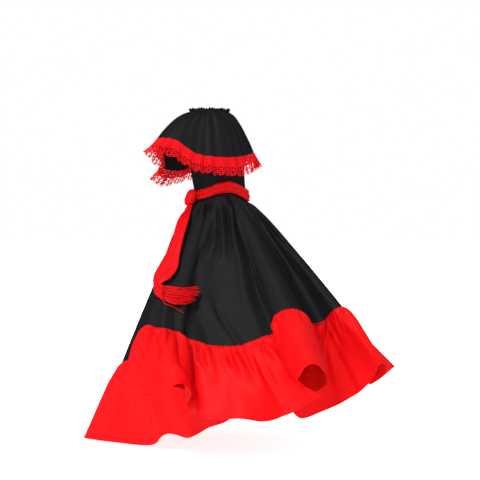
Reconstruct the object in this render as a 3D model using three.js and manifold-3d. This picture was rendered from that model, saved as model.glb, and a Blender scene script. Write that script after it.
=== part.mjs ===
// A child's Spanish dance costume dress, in the form that it has when it is worn and swings.
// Black bodice with a gathered neckline, a black shoulder flounce edged with red lace, a black
// skirt gathered into the waist, a deep red hem flounce in four strips, and a red knotted sash
// with fringed ends. All lengths are in millimetres, +Z is up and the dress faces -Y. The origin
// is the middle of the neckline, where the dress rests on the shoulders.
// A bearing is an angle in degrees about the upright axis, from the front towards the dress's left, +X.
// A reach is a distance out from that axis, and a drop is a distance down from the named level.
import * as THREE from 'three';
import { mergeVertices } from 'three/addons/utils/BufferGeometryUtils.js';
import Module from 'manifold-3d';

const wasm = await Module();
wasm.setup();

// Driving dimensions.
const CLOTH = 1.5;
const LACE_CLOTH = 1.2;
const SEAM_GAP = 0.3;
const NECK = { halfWidth: 66, halfDepth: 58, centreY: 2 };
const WAIST = { halfWidth: 89, halfDepth: 74, centreY: 45, level: -266 };
const SKIRT_TOP = -271;
const SASH = { level: -254, gap: 3.2, flare: 3, thickness: 3, highest: 35, lowest: 22, widest: 180 };
const HEM_STRIPS = ['left_front', 'left_back', 'right_back', 'right_front'];
const COUNTS = { hemGathers: 96, hemWaves: 32, waistGathers: 24, shoulderWaves: 30 };

const black = new THREE.MeshStandardMaterial({ color: '#18191b', roughness: 0.75, metalness: 0 });
const red = new THREE.MeshStandardMaterial({ color: '#f0141a', roughness: 0.6, metalness: 0 });
const lace = new THREE.MeshStandardMaterial({ color: '#e2101c', roughness: 0.7, metalness: 0 });

const dress = new THREE.Group();

// Plain helpers.
const radians = (degrees) => (degrees * Math.PI) / 180;
const vector = (x, y, z) => new THREE.Vector3(x, y, z);
const mixed = (a, b, share) => a.clone().lerp(b, share);
const ring = (points) => new THREE.CatmullRomCurve3(points, true, 'centripetal');

// The value at x of a short table of [x, value] pairs, joined by straight lines.
function valueAt(table, x) {
  const next = table.findIndex(([at]) => at >= x);
  if (next < 0) return table[table.length - 1][1];
  if (next === 0) return table[0][1];
  const [[x0, a], [x1, b]] = [table[next - 1], table[next]];
  return a + ((b - a) * (x - x0)) / (x1 - x0);
}

function bearingPoint(bearing, reach, z, centreY) {
  const angle = radians(bearing);
  return vector(reach * Math.sin(angle), centreY - reach * Math.cos(angle), z);
}

function ovalPoint(bearing, oval, z, grow = 0) {
  const angle = radians(bearing);
  const x = (oval.halfWidth + grow) * Math.sin(angle);
  const y = oval.centreY - (oval.halfDepth + grow) * Math.cos(angle);
  return vector(x, y, z);
}

// The waistline rises behind: pairs of a bearing and a rise.
const WAIST_RISE = [
  [0, -7], [60, -5], [85, -3], [98, 0], [111, 5], [124, 13], [137, 18], [150, 20], [162, 17],
  [177, 9], [192, 1], [210, -4], [250, -8], [305, -10], [360, -7],
];
const waistLift = (bearing) => valueAt(WAIST_RISE, ((bearing % 360) + 360) % 360);

// The points of a surface on a grid, with the outward normal at each. The surface takes a column
// number, which may run past the piece, and a share from its top edge to its bottom edge.
function gridOf(surface, columns, shares, edgeGap) {
  const last = shares.length - 1;
  return columns.map((column, i) =>
    shares.map((share, j) => {
      const point = surface.at(column, share);
      const across = surface.at(column + 1, share).sub(surface.at(column - 1, share));
      const down = surface.at(column, shares[Math.min(j + 1, last)])
        .sub(surface.at(column, shares[Math.max(j - 1, 0)]));
      let normal = down.cross(across).normalize();
      if (j === 0 && surface.topNormal) normal = surface.topNormal(column);
      if (j === last && surface.footNormal) normal = surface.footNormal(column);
      const side = i === 0 ? 1 : i === columns.length - 1 ? -1 : 0;
      if (edgeGap) point.addScaledVector(across.normalize(), side * edgeGap);
      return { point, normal };
    }));
}

// A cloth wall: the outer face is the grid, the inner face lies a thickness behind it, and every
// edge is closed. isHole(i, j) leaves out the cell whose first corner is grid point i, j.
function wallShape(grid, thickness, { closed = false, isHole = () => false } = {}) {
  const rows = grid[0].length;
  const cells = closed ? grid.length : grid.length - 1;
  const vertices = [];
  for (const column of grid) {
    for (const { point, normal } of column) {
      vertices.push(...point.toArray(), ...point.clone().addScaledVector(normal, -thickness).toArray());
    }
  }
  const index = (i, j, inner) => 2 * ((i % grid.length) * rows + j) + (inner ? 1 : 0);
  const there = (i, j) => {
    if (j < 0 || j >= rows - 1 || (!closed && (i < 0 || i >= cells))) return false;
    return !isHole((i + cells) % cells, j);
  };
  const faces = [];
  const quad = (a, b, c, d) => faces.push(a, b, c, a, c, d);
  for (let i = 0; i < cells; i++) {
    for (let j = 0; j < rows - 1; j++) {
      if (!there(i, j)) continue;
      const corners = [[i, j], [i, j + 1], [i + 1, j + 1], [i + 1, j]];
      const outer = corners.map(([a, b]) => index(a, b, false));
      const inner = corners.map(([a, b]) => index(a, b, true));
      quad(...outer);
      quad(inner[0], inner[3], inner[2], inner[1]);
      const beyond = [[i - 1, j], [i, j + 1], [i + 1, j], [i, j - 1]];
      beyond.forEach(([a, b], edge) => {
        const next = (edge + 1) % 4;
        if (!there(a, b)) quad(outer[next], outer[edge], inner[edge], inner[next]);
      });
    }
  }
  return { vertices, faces };
}

function addPiece(name, material, { vertices, faces }) {
  const geometry = new THREE.BufferGeometry();
  geometry.setAttribute('position', new THREE.Float32BufferAttribute(vertices, 3));
  geometry.setIndex(faces);
  const mesh = new THREE.Mesh(geometry, material);
  mesh.name = name;
  dress.add(mesh);
  return mesh;
}

function clothWall(name, material, grid, thickness, options) {
  addPiece(name, material, wallShape(grid, thickness, options));
}

// Several closed shapes joined into one, with the hollows shut inside it filled.
function joined(shapes) {
  const solids = shapes.map(({ vertices, faces }) => new wasm.Manifold(new wasm.Mesh({
    numProp: 3,
    vertProperties: new Float32Array(vertices),
    triVerts: new Uint32Array(faces),
  })));
  const skins = wasm.Manifold.union(solids).decompose();
  const mesh = skins.reduce((a, b) => (b.volume() > a.volume() ? b : a)).getMesh();
  return { vertices: Array.from(mesh.vertProperties), faces: Array.from(mesh.triVerts) };
}

const columnRange = (from, to) => Array.from({ length: to - from + 1 }, (_, i) => from + i);

// The places along matching rings where their mean length is cut into equal columns.
function evenPlaces(rings, columns) {
  const steps = 1200;
  const lengths = [0];
  let before = rings.map((curve) => curve.getPoint(0));
  for (let i = 1; i <= steps; i++) {
    const now = rings.map((curve) => curve.getPoint(i / steps));
    const moved = now.reduce((sum, point, k) => sum + point.distanceTo(before[k]), 0);
    lengths.push(lengths[i - 1] + moved);
    before = now;
  }
  const places = [];
  for (let column = 0, i = 0; column < columns; column++) {
    const wanted = (lengths[steps] * column) / columns;
    while (lengths[i + 1] < wanted) i++;
    places.push((i + (wanted - lengths[i]) / (lengths[i + 1] - lengths[i])) / steps);
  }
  return places;
}

// Skirt and hem flounce.
// One row for each fold: the bearing at which it leaves the waist, where its seam with the
// flounce is, and where the hem is. Drops are from the waist level, reaches from the waist's axis.
const FOLDS = [
  { waist: 25, seam: [28, 315, 520], hem: [27, 445, 750] },
  { waist: 32, seam: [39, 290, 505], hem: [39, 310, 754] },
  { waist: 39, seam: [48, 272, 494], hem: [55, 235, 752] },
  { waist: 46, seam: [54, 256, 488], hem: [68, 220, 737] },
  { waist: 51, seam: [62, 248, 482], hem: [81, 219, 704] },
  { waist: 55, seam: [73, 245, 476], hem: [103, 223, 706] },
  { waist: 59, seam: [87, 253, 464], hem: [120, 265, 668] },
  { waist: 63, seam: [99, 275, 450], hem: [132, 328, 632] },
  { waist: 67, seam: [101, 319, 436], hem: [124, 402, 581] },
  { waist: 71, seam: [98, 352, 422], hem: [114, 440, 536] },
  { waist: 75, seam: [95, 380, 399], hem: [104, 505, 524] },
  { waist: 80, seam: [96, 412, 375], hem: [101, 604, 505] },
  { waist: 86, seam: [101, 425, 366], hem: [106, 613, 522] },
  { waist: 93, seam: [106, 422, 376], hem: [112, 592, 522] },
  { waist: 100, seam: [111, 409, 380], hem: [117, 560, 510] },
  { waist: 106, seam: [114, 386, 405], hem: [118, 471, 570] },
  { waist: 112, seam: [119, 386, 411], hem: [122, 496, 602] },
  { waist: 121, seam: [130, 394, 424], hem: [132, 545, 596] },
  { waist: 130, seam: [139, 422, 411], hem: [140, 556, 606] },
  { waist: 137, seam: [145, 434, 392], hem: [146, 555, 588] },
  { waist: 142, seam: [147, 450, 371], hem: [149, 575, 546] },
  { waist: 147, seam: [146, 480, 333], hem: [145, 662, 482] },
  { waist: 152, seam: [150, 512, 313], hem: [147, 708, 442] },
  { waist: 157, seam: [154, 508, 322], hem: [151, 688, 456] },
  { waist: 162, seam: [159, 466, 348], hem: [155, 598, 516] },
  { waist: 167, seam: [163, 438, 360], hem: [159, 437, 566] },
  { waist: 172, seam: [167, 421, 366], hem: [166, 326, 612] },
  { waist: 177, seam: [170, 416, 367], hem: [175, 320, 646] },
  { waist: 182, seam: [172, 426, 359], hem: [182, 375, 626] },
  { waist: 187, seam: [171.5, 450, 341], hem: [181, 460, 583] },
  { waist: 192, seam: [171, 472, 325], hem: [177, 544, 535] },
  { waist: 197, seam: [173, 484, 317], hem: [173, 617, 466] },
  { waist: 203, seam: [178, 460, 323], hem: [179, 603, 482] },
  { waist: 209, seam: [186, 418, 340], hem: [193, 487, 550] },
  { waist: 217, seam: [200, 380, 362], hem: [211, 537, 510] },
  { waist: 227, seam: [213, 345, 385], hem: [221, 415, 590] },
  { waist: 237, seam: [226, 358, 385], hem: [231, 505, 566] },
  { waist: 248, seam: [241, 318, 412], hem: [243, 385, 625] },
  { waist: 259, seam: [256, 338, 405], hem: [257, 490, 590] },
  { waist: 271, seam: [272, 296, 432], hem: [273, 350, 652] },
  { waist: 283, seam: [288, 322, 428], hem: [288, 470, 622] },
  { waist: 296, seam: [304, 284, 450], hem: [305, 338, 678] },
  { waist: 310, seam: [320, 312, 452], hem: [319, 455, 660] },
  { waist: 325, seam: [336, 280, 472], hem: [337, 330, 706] },
  { waist: 341, seam: [352, 308, 480], hem: [351, 440, 702] },
  { waist: 359, seam: [369, 288, 500], hem: [370, 345, 738] },
];
const COLUMNS = 2 * COUNTS.hemGathers;
const SKIRT_SHARES = [0, 0.13, 0.36, 0.66, 1];
const FLOUNCE_SHARES = [0, 0.09, 0.3, 0.64, 1];
// How far out and down the skirt has swung, as shares of the way to the seam, where it bends.
const SKIRT_BEND = { out: 0.31, down: 0.2 };
// Height of the gathers by the share of the way down the skirt or the flounce.
const WAIST_GATHER = [[0, 1], [0.13, 4], [0.36, 3], [0.66, 1], [1, 0]];
const HEM_GATHER = [[0, 0.5], [0.09, 2.8], [0.3, 3], [0.64, 0.8], [1, 0]];
const HEM_WAVE = [[0, 0], [0.09, 1], [0.3, 2.5], [0.64, 4], [1, 5]];
const HEM_PUFF = [[0, 0], [0.09, 9], [0.3, 11], [0.64, 5], [1, 0]];

const waistPoint = (bearing, grow = 0) =>
  ovalPoint(bearing, WAIST, SKIRT_TOP + waistLift(bearing), grow);
const fallPoint = ([bearing, reach, drop]) =>
  bearingPoint(bearing, reach, WAIST.level - drop, WAIST.centreY);
const waistRing = ring(FOLDS.map((fold) => waistPoint(fold.waist)));
const seamRing = ring(FOLDS.map((fold) => fallPoint(fold.seam)));
const hemRing = ring(FOLDS.map((fold) => fallPoint(fold.hem)));
const skirtPlaces = evenPlaces([seamRing, hemRing], COLUMNS);

const ringPlace = (column) => {
  const whole = Math.floor(column);
  const at = (n) => skirtPlaces[((n % COLUMNS) + COLUMNS) % COLUMNS] + Math.floor(n / COLUMNS);
  return at(whole) + (at(whole + 1) - at(whole)) * (column - whole);
};
const onRing = (curve, column) => curve.getPoint(((ringPlace(column) % 1) + 1) % 1);
const wave = (count, column, total) => Math.cos((2 * Math.PI * count * column) / total);

// The skirt without its gathers: each column swings out from the waist and then falls.
function skirtLine(column, share) {
  const top = onRing(waistRing, column);
  const foot = onRing(seamRing, column);
  const bend = vector(
    top.x + (foot.x - top.x) * SKIRT_BEND.out,
    top.y + (foot.y - top.y) * SKIRT_BEND.out,
    top.z + (foot.z - top.z) * SKIRT_BEND.down,
  );
  return mixed(mixed(top, bend, share), mixed(bend, foot, share), share);
}

function normalOf(line, column, share, step = 0.02) {
  const high = Math.max(share - step, 0);
  const low = Math.min(share + step, 1);
  const across = line(column + 1, share).sub(line(column - 1, share));
  return line(column, low).sub(line(column, high)).cross(across).normalize();
}

const skirt = {
  at(column, share) {
    const height = valueAt(WAIST_GATHER, share) * wave(COUNTS.waistGathers, column, COLUMNS);
    return skirtLine(column, share).addScaledVector(normalOf(skirtLine, column, share), height);
  },
};
const seamNormal = (column) => normalOf(skirtLine, column, 1);
skirt.footNormal = seamNormal;

function flounceLine(column, share) {
  const top = onRing(seamRing, column);
  const foot = onRing(hemRing, column);
  const start = SEAM_GAP / top.distanceTo(foot);
  return mixed(top, foot, start + (1 - start) * share);
}

const hemFlounce = {
  topNormal: seamNormal,
  at(column, share) {
    const normal = share === 0 ? seamNormal(column) : normalOf(flounceLine, column, share);
    const gather = valueAt(HEM_GATHER, share) * wave(COUNTS.hemGathers, column, COLUMNS);
    const broad = valueAt(HEM_WAVE, share) * wave(COUNTS.hemWaves, column + 1, COLUMNS);
    const height = valueAt(HEM_PUFF, share) + gather + broad;
    return flounceLine(column, share).addScaledVector(normal, height);
  },
};

// The column whose fold leaves the waist nearest to a bearing, where a panel is joined.
function columnAt(bearing) {
  const misses = skirtPlaces.map((place) => {
    const point = waistRing.getPoint(place);
    const found = THREE.MathUtils.radToDeg(Math.atan2(point.x, WAIST.centreY - point.y));
    return Math.abs(((found - bearing + 540) % 360) - 180);
  });
  return misses.indexOf(Math.min(...misses));
}

const leftSeam = columnAt(90);
const rightSeam = columnAt(270);
const skirtPanel = (name, from, to) =>
  clothWall(name, black, gridOf(skirt, columnRange(from, to), SKIRT_SHARES, SEAM_GAP / 2), CLOTH);
skirtPanel('skirt_back', leftSeam, rightSeam);
skirtPanel('skirt_front', rightSeam, leftSeam + COLUMNS);

HEM_STRIPS.forEach((side, i) => {
  const length = COLUMNS / HEM_STRIPS.length;
  const columns = columnRange(i * length, (i + 1) * length);
  const grid = gridOf(hemFlounce, columns, FLOUNCE_SHARES, SEAM_GAP / 2);
  clothWall('hem_flounce_' + side, red, grid, CLOTH);
});

// Bodice.
// One row for each level: the oval of the body at that drop below the neckline, and half the
// angle that each panel covers, which is 90 degrees below the armholes.
const BODY_LEVELS = [
  { drop: 0.8, halfWidth: 63.9, halfDepth: 55.9, centreY: 2, cover: 40 },
  { drop: 30, halfWidth: 75, halfDepth: 61, centreY: 6, cover: 46 },
  { drop: 70, halfWidth: 92, halfDepth: 71, centreY: 12, cover: 53 },
  { drop: 110, halfWidth: 101, halfDepth: 78, centreY: 20, cover: 66 },
  { drop: 132, halfWidth: 103, halfDepth: 79, centreY: 25, cover: 88 },
  { drop: 190, halfWidth: 92, halfDepth: 73, centreY: 36, cover: 90 },
  { drop: 232, halfWidth: 88, halfDepth: 73, centreY: 43, cover: 90 },
];
const BODICE_COLUMNS = 16;
const BODICE_FOLD = { count: 14, height: 1.6 };

// The bodice panel around a middle bearing; its last row is the waist, just above the skirt.
function bodicePanel(name, middle) {
  const last = BODY_LEVELS.length;
  const rowPoint = (column, row) => {
    const level = BODY_LEVELS[Math.min(row, last - 1)];
    const share = (2 * column) / BODICE_COLUMNS - 1;
    const bearing = middle + share * level.cover;
    if (row === last) return waistPoint(bearing).add(vector(0, 0, SEAM_GAP));
    const fold = BODICE_FOLD.height * Math.cos(radians(bearing) * BODICE_FOLD.count);
    return ovalPoint(bearing, level, -level.drop, row > 1 ? fold : 0);
  };
  const rows = Array.from({ length: last + 1 }, (_, row) => row / last);
  const panel = { at: (column, share) => rowPoint(column, Math.round(share * last)) };
  const grid = gridOf(panel, columnRange(0, BODICE_COLUMNS), rows, SEAM_GAP / 2);
  clothWall(name, black, grid, CLOTH);
}
bodicePanel('bodice_front', 0);
bodicePanel('bodice_back', 180);

// Shoulder flounce and its lace.
// One row for each fold: the bearing, where the black edge is and where the lace ends. Drops are
// below the neckline, reaches from its middle.
const SHOULDER_FOLDS = [
  { bearing: 0, edge: [150, 178], lace: [184, 220] },
  { bearing: 22, edge: [150, 172], lace: [190, 202] },
  { bearing: 36, edge: [138, 150], lace: [152, 182] },
  { bearing: 47, edge: [148, 118], lace: [172, 152] },
  { bearing: 60, edge: [172, 90], lace: [208, 124] },
  { bearing: 78, edge: [182, 87], lace: [204, 132] },
  { bearing: 97, edge: [185, 97], lace: [203, 142] },
  { bearing: 114, edge: [160, 135], lace: [174, 182] },
  { bearing: 133, edge: [147, 144], lace: [164, 192] },
  { bearing: 152, edge: [140, 146], lace: [157, 196] },
  { bearing: 180, edge: [131, 140], lace: [148, 190] },
  { bearing: 204, edge: [132, 132], lace: [149, 174] },
  { bearing: 220, edge: [134, 126], lace: [150, 166] },
  { bearing: 246, edge: [156, 118], lace: [172, 162] },
  { bearing: 264, edge: [184, 98], lace: [205, 143] },
  { bearing: 283, edge: [181, 90], lace: [212, 130] },
  { bearing: 301, edge: [168, 98], lace: [196, 138] },
  { bearing: 315, edge: [148, 128], lace: [170, 164] },
  { bearing: 327, edge: [140, 156], lace: [158, 194] },
  { bearing: 341, edge: [151, 174], lace: [186, 210] },
];
const SHOULDER_COLUMNS = 4 * COUNTS.shoulderWaves;
const SHOULDER_SHARES = [0, 0.12, 0.5, 1];
const LACE_SHARES = [0, 0.5, 0.76, 1];
const SHOULDER_BEND = { out: 0.53, down: 0.18 };
const NECK_GATHER = [[0, 0.2], [0.12, 2.2], [0.5, 2.4], [1, 2.4]];
const LACE_WAVE = [[0, 2.4], [0.5, 5], [0.76, 7], [1, 9]];
const SCALLOP = 5;

const neckPoint = (bearing, z, grow = 0) => ovalPoint(bearing, NECK, z, grow);
const edgeRing = ring(SHOULDER_FOLDS.map(({ bearing, edge: [reach, drop] }) =>
  bearingPoint(bearing, reach, -drop, 0)));
const laceRing = ring(SHOULDER_FOLDS.map(({ bearing, lace: [reach, drop] }) =>
  bearingPoint(bearing, reach, -drop, 0)));
const neckRing = ring(SHOULDER_FOLDS.map(({ bearing }) => neckPoint(bearing, -1)));
const shoulderPlaces = evenPlaces([edgeRing], SHOULDER_COLUMNS);
const onShoulder = (curve, column) =>
  curve.getPoint(shoulderPlaces[(column + SHOULDER_COLUMNS) % SHOULDER_COLUMNS]);

function shoulderLine(column, share) {
  const top = onShoulder(neckRing, column);
  const foot = onShoulder(edgeRing, column);
  const bend = vector(
    top.x + (foot.x - top.x) * SHOULDER_BEND.out,
    top.y + (foot.y - top.y) * SHOULDER_BEND.out,
    top.z + (foot.z - top.z) * SHOULDER_BEND.down,
  );
  return mixed(mixed(top, bend, share), mixed(bend, foot, share), share);
}

const shoulderFlounce = {
  at(column, share) {
    const height = valueAt(NECK_GATHER, share) * wave(COUNTS.shoulderWaves, column, SHOULDER_COLUMNS);
    return shoulderLine(column, share).addScaledVector(normalOf(shoulderLine, column, share), height);
  },
};
const edgeNormal = (column) => normalOf(shoulderLine, column, 1);
shoulderFlounce.footNormal = edgeNormal;

function laceLine(column, share) {
  const top = onShoulder(edgeRing, column);
  const foot = onShoulder(laceRing, column);
  const start = SEAM_GAP / top.distanceTo(foot);
  return mixed(top, foot, start + (1 - start) * share);
}

const laceEdging = {
  topNormal: edgeNormal,
  at(column, share) {
    const normal = share === 0 ? edgeNormal(column) : normalOf(laceLine, column, share);
    const height = valueAt(LACE_WAVE, share) * wave(COUNTS.shoulderWaves, column, SHOULDER_COLUMNS);
    const point = laceLine(column, share).addScaledVector(normal, height);
    if (share < 1 || column % 2) return point;
    const down = laceLine(column, 1).sub(laceLine(column, 0)).normalize();
    return point.addScaledVector(down, SCALLOP);
  },
};

// Every second cell of the lace's open band is a hole.
const laceHole = (i, j) => j === 1 && i % 2 === 1;
const shoulderSeams = [SHOULDER_COLUMNS * 0.25, SHOULDER_COLUMNS * 0.75];
const shoulderHalves = [
  ['back', shoulderSeams[0], shoulderSeams[1]],
  ['front', shoulderSeams[1], shoulderSeams[0] + SHOULDER_COLUMNS],
];
for (const [side, from, to] of shoulderHalves) {
  const columns = columnRange(from, to);
  const cloth = gridOf(shoulderFlounce, columns, SHOULDER_SHARES, SEAM_GAP / 2);
  clothWall('shoulder_flounce_' + side, black, cloth, CLOTH);
  const net = gridOf(laceEdging, columns, LACE_SHARES, SEAM_GAP / 2);
  clothWall('lace_' + side, lace, net, LACE_CLOTH, { isHole: laceHole });
}

// Neck frill: the band that holds the elastic, with the gathered edge that stands above it.
const FRILL = { columns: 2 * COUNTS.shoulderWaves, height: 9, wave: 2.5, foot: -0.5 };
const neckFrill = {
  at(column, share) {
    const bearing = (360 * column) / FRILL.columns;
    const up = 1 - share;
    const outward = FRILL.wave * up * wave(COUNTS.shoulderWaves, column, FRILL.columns) + 2 * up;
    return neckPoint(bearing, FRILL.foot + FRILL.height * up, outward);
  },
};
clothWall('neck_frill', black, gridOf(neckFrill, columnRange(0, FRILL.columns - 1), [0, 1], 0),
  CLOTH, { closed: true });

// Sash.
// The band is highest and widest behind the right hip and narrows to the knot on the left.
const SASH_COLUMNS = 40;
const SASH_SHARES = [0, 0.25, 0.5, 0.75, 1];
const SASH_RIDGE = { height: 1.6, count: 2, turns: 1.5 };
const SASH_PUFF = 2;
const KNOT = { bearing: 68, halfAngle: 10.3, drop: 8, out: 20, lean: 22 };
const KNOT_SIZE = { halfWidth: 17, halfHeight: 25, halfDepth: 11, ridge: 0.07 };
const sashBand = {
  at(column, share) {
    const span = 360 - 2 * KNOT.halfAngle;
    const bearing = KNOT.bearing + KNOT.halfAngle + (span * column) / SASH_COLUMNS;
    const nearWidest = 0.5 + 0.5 * Math.cos(radians(bearing - SASH.widest));
    const height = SASH.lowest + (SASH.highest - SASH.lowest) * nearWidest;
    const turn = (SASH_RIDGE.turns * bearing) / 360;
    const ridge = SASH_RIDGE.height * Math.cos(2 * Math.PI * (SASH_RIDGE.count * share + turn));
    const puff = SASH_PUFF * Math.sin(Math.PI * share);
    const grow = SASH.gap + SASH.flare * share + SASH.thickness + puff + ridge;
    const z = SASH.level + waistLift(bearing) + height * (0.5 - share);
    return ovalPoint(bearing, WAIST, z, grow);
  },
};
const sashGrid = gridOf(sashBand, columnRange(0, SASH_COLUMNS), SASH_SHARES, 0);
clothWall('sash_band', red, sashGrid, SASH.thickness);

// The knot: a squarish lump of wrapped cloth with its turns as ridges, between the band's ends.
function knotShape() {
  const ball = new THREE.SphereGeometry(1, 16, 12).deleteAttribute('normal').deleteAttribute('uv');
  const lump = mergeVertices(ball);
  const position = lump.getAttribute('position');
  const vertices = [];
  for (let i = 0; i < position.count; i++) {
    const way = new THREE.Vector3().fromBufferAttribute(position, i);
    const squared = (way.x ** 4 + way.y ** 4 + way.z ** 4) ** -0.25;
    const turns = 1 - KNOT_SIZE.ridge * (1 - Math.cos(8 * way.y + 4 * way.x));
    way.multiplyScalar(squared * turns);
    const { halfWidth, halfDepth, halfHeight } = KNOT_SIZE;
    vertices.push(way.x * halfWidth, -way.z * halfDepth, way.y * halfHeight);
  }
  return { vertices, faces: Array.from(lump.index.array) };
}
const knot = addPiece('sash_knot', red, knotShape());
const knotLevel = SASH.level + waistLift(KNOT.bearing) - KNOT.drop;
knot.position.copy(ovalPoint(KNOT.bearing, WAIST, knotLevel, KNOT.out));
knot.rotation.set(radians(-KNOT.lean), 0, radians(KNOT.bearing), 'ZYX');

// Sash ends.
// Each lies just clear of the skirt. One row for each place down it, from the knot to its end;
// each edge is a bearing, a reach and a drop, like a fold's. The near end swings round at its foot.
const NEAR_END = [
  { left: [70.5, 115, 25.1], right: [81, 123, 24.3] },
  { left: [83, 178, 65], right: [97, 184, 65] },
  { left: [89, 224, 115], right: [100, 231, 115] },
  { left: [90, 260, 163], right: [102, 272, 166] },
  { left: [90, 292, 199], right: [103.5, 302, 205] },
  { left: [91, 322, 229], right: [102, 331, 233] },
  { left: [93.5, 341, 257], right: [99, 343, 246] },
  { left: [97, 362, 278], right: [98.8, 346, 251] },
  { left: [102, 379, 292], right: [100.4, 350, 254] },
];
const FAR_END = [
  { left: [57, 107, 24.4], right: [69.5, 112, 24.6] },
  { left: [37, 114, 52], right: [50, 114, 50] },
  { left: [21, 136, 95], right: [33, 138, 95] },
  { left: [16, 156, 137], right: [27.5, 161, 138] },
  { left: [12, 174, 183], right: [23, 181, 185] },
  { left: [10, 197, 238], right: [21, 204, 239] },
];
// A fringe hangs from an end: where the middles and tips of its outermost strands are.
const NEAR_FRINGE = {
  strands: 20,
  middle: { left: [108, 374, 304], right: [108, 338, 259] },
  tip: { left: [114.5, 340, 303], right: [118, 302, 257] },
};
const FAR_FRINGE = {
  strands: 16,
  middle: { left: [9.5, 221, 297], right: [21, 230, 299] },
  tip: { left: [9, 247, 360], right: [21.5, 257, 362] },
};
const END = { cloth: 2, curl: 3, columns: 4, heading: 6 };
const STRAND = { radius: 1.3, tipRadius: 0.9, root: 2.7, inset: 0.02 };
// How strands stray from even rows: up and down at the bend and the tip, in length, and out from
// the skirt, where every second strand lies over its neighbours.
const STRAY = { bend: 1.5, tip: 2.5, length: 0.14, under: 1, over: 5 };
const NEAR_LOOSE_STRAND = [[104, 384, 303], [106.7, 381, 309], [111.9, 376, 328]];

const evenShares = (steps) => Array.from({ length: steps + 1 }, (_, step) => step / steps);
// Values from -1 to 1 that follow no pattern to the eye.
const scatter = (k, pace) => Math.sin(pace * (k + 1));

function sashEnd(name, rows) {
  const left = new THREE.CatmullRomCurve3(rows.map((row) => fallPoint(row.left)));
  const right = new THREE.CatmullRomCurve3(rows.map((row) => fallPoint(row.right)));
  const flat = (column, share) =>
    mixed(left.getPoint(share), right.getPoint(share), column / END.columns);
  const end = {
    at(column, share) {
      const inside = Math.min(Math.max(column, 0), END.columns) / END.columns;
      const curl = END.curl * Math.sin(Math.PI * inside);
      return flat(column, share).addScaledVector(normalOf(flat, column, share), curl);
    },
  };
  const grid = gridOf(end, columnRange(0, END.columns), evenShares(rows.length + 2), 0);
  clothWall(name, red, grid, END.cloth);
  return grid.map((column) => column[column.length - 1]);
}

// A strand: a three-sided thread through its places, thinner at its tip.
function strandShape(places) {
  const vertices = [];
  const faces = [];
  const last = places.length - 1;
  places.forEach((place, k) => {
    const onward = places[Math.min(k + 1, last)].clone().sub(places[Math.max(k - 1, 0)]).normalize();
    const out = vector(place.x, place.y - WAIST.centreY, 0).normalize();
    const side = onward.clone().cross(out).normalize();
    const up = side.clone().cross(onward);
    const radius = k === last ? STRAND.tipRadius : STRAND.radius;
    for (const turn of [90, 210, 330]) {
      const corner = place.clone()
        .addScaledVector(side, radius * Math.cos(radians(turn)))
        .addScaledVector(up, radius * Math.sin(radians(turn)));
      vertices.push(...corner.toArray());
    }
  });
  for (let k = 0; k < last; k++) {
    for (let c = 0; c < 3; c++) {
      const [a, b] = [3 * k + c, 3 * k + ((c + 1) % 3)];
      faces.push(a, b + 3, b, a, a + 3, b + 3);
    }
  }
  faces.push(0, 1, 2, 3 * last, 3 * last + 2, 3 * last + 1);
  return { vertices, faces };
}

// The place at the end's middle depth, a share of the way along its edge.
function placeOnEdge(edge, share) {
  const at = share * (edge.length - 1);
  const low = Math.min(Math.floor(at), edge.length - 2);
  const normal = mixed(edge[low].normal, edge[low + 1].normal, at - low);
  return mixed(edge[low].point, edge[low + 1].point, at - low).addScaledVector(normal, -END.cloth / 2);
}

// A strand from the heading through the places after it.
function rootedStrand(edge, share, places) {
  const root = placeOnEdge(edge, share);
  const onward = places[0].clone().sub(root).normalize();
  return strandShape([root.addScaledVector(onward, STRAND.root), ...places]);
}

// The strands of one end, joined by the narrow heading they are knotted into.
function fringe(name, edge, { strands, middle, tip }, looseStrands = []) {
  const between = (row, share) => mixed(fallPoint(row.left), fallPoint(row.right), share);
  const heading = edge.map(({ point, normal }, i) => {
    const onward = between(middle, i / (edge.length - 1)).sub(point).normalize();
    const place = (length) => ({ point: point.clone().addScaledVector(onward, length), normal });
    return [place(SEAM_GAP), place(END.heading)];
  });
  const shapes = [wallShape(heading, END.cloth)];
  for (let k = 0; k < strands; k++) {
    const share = STRAND.inset + ((1 - 2 * STRAND.inset) * k) / (strands - 1);
    const bend = between(middle, share);
    const foot = between(tip, share);
    foot.addScaledVector(foot.clone().sub(bend), STRAY.length * scatter(k, 4.1));
    const out = vector(bend.x, bend.y - WAIST.centreY, 0).normalize();
    const layer = k % 2 ? STRAY.over : STRAY.under;
    bend.addScaledVector(out, layer).z += STRAY.bend * scatter(k, 2.4);
    foot.addScaledVector(out, layer).z += STRAY.tip * scatter(k, 1.7);
    shapes.push(rootedStrand(edge, share, [bend, mixed(bend, foot, 0.5), foot]));
  }
  for (const places of looseStrands) {
    shapes.push(rootedStrand(edge, STRAND.inset, places.map(fallPoint)));
  }
  addPiece(name, red, joined(shapes));
}

const nearEdge = sashEnd('sash_end_near', NEAR_END);
fringe('fringe_near', nearEdge, NEAR_FRINGE, [NEAR_LOOSE_STRAND]);
const farEdge = sashEnd('sash_end_far', FAR_END);
fringe('fringe_far', farEdge, FAR_FRINGE);

export default dress;
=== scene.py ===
"""A child's Spanish dance costume dress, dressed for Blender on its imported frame.

The dress is black, with a gathered neckline, a shoulder flounce edged with red lace, a skirt
gathered into the waist, a deep red hem flounce in four strips, and a red knotted sash with
fringed ends. The tables are in millimetres, as the solids' source is, and one function turns
them to metres. The dress faces -Y and +Z is up. A column counts round a ring of cloth, and a
share goes from 0 at a piece's top edge to 1 at its bottom edge.
"""

from __future__ import annotations

import logging
import math
from dataclasses import dataclass
from enum import Enum
from typing import Callable, NamedTuple, Sequence

import bpy
import numpy as np
from mathutils import Matrix, Vector

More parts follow.
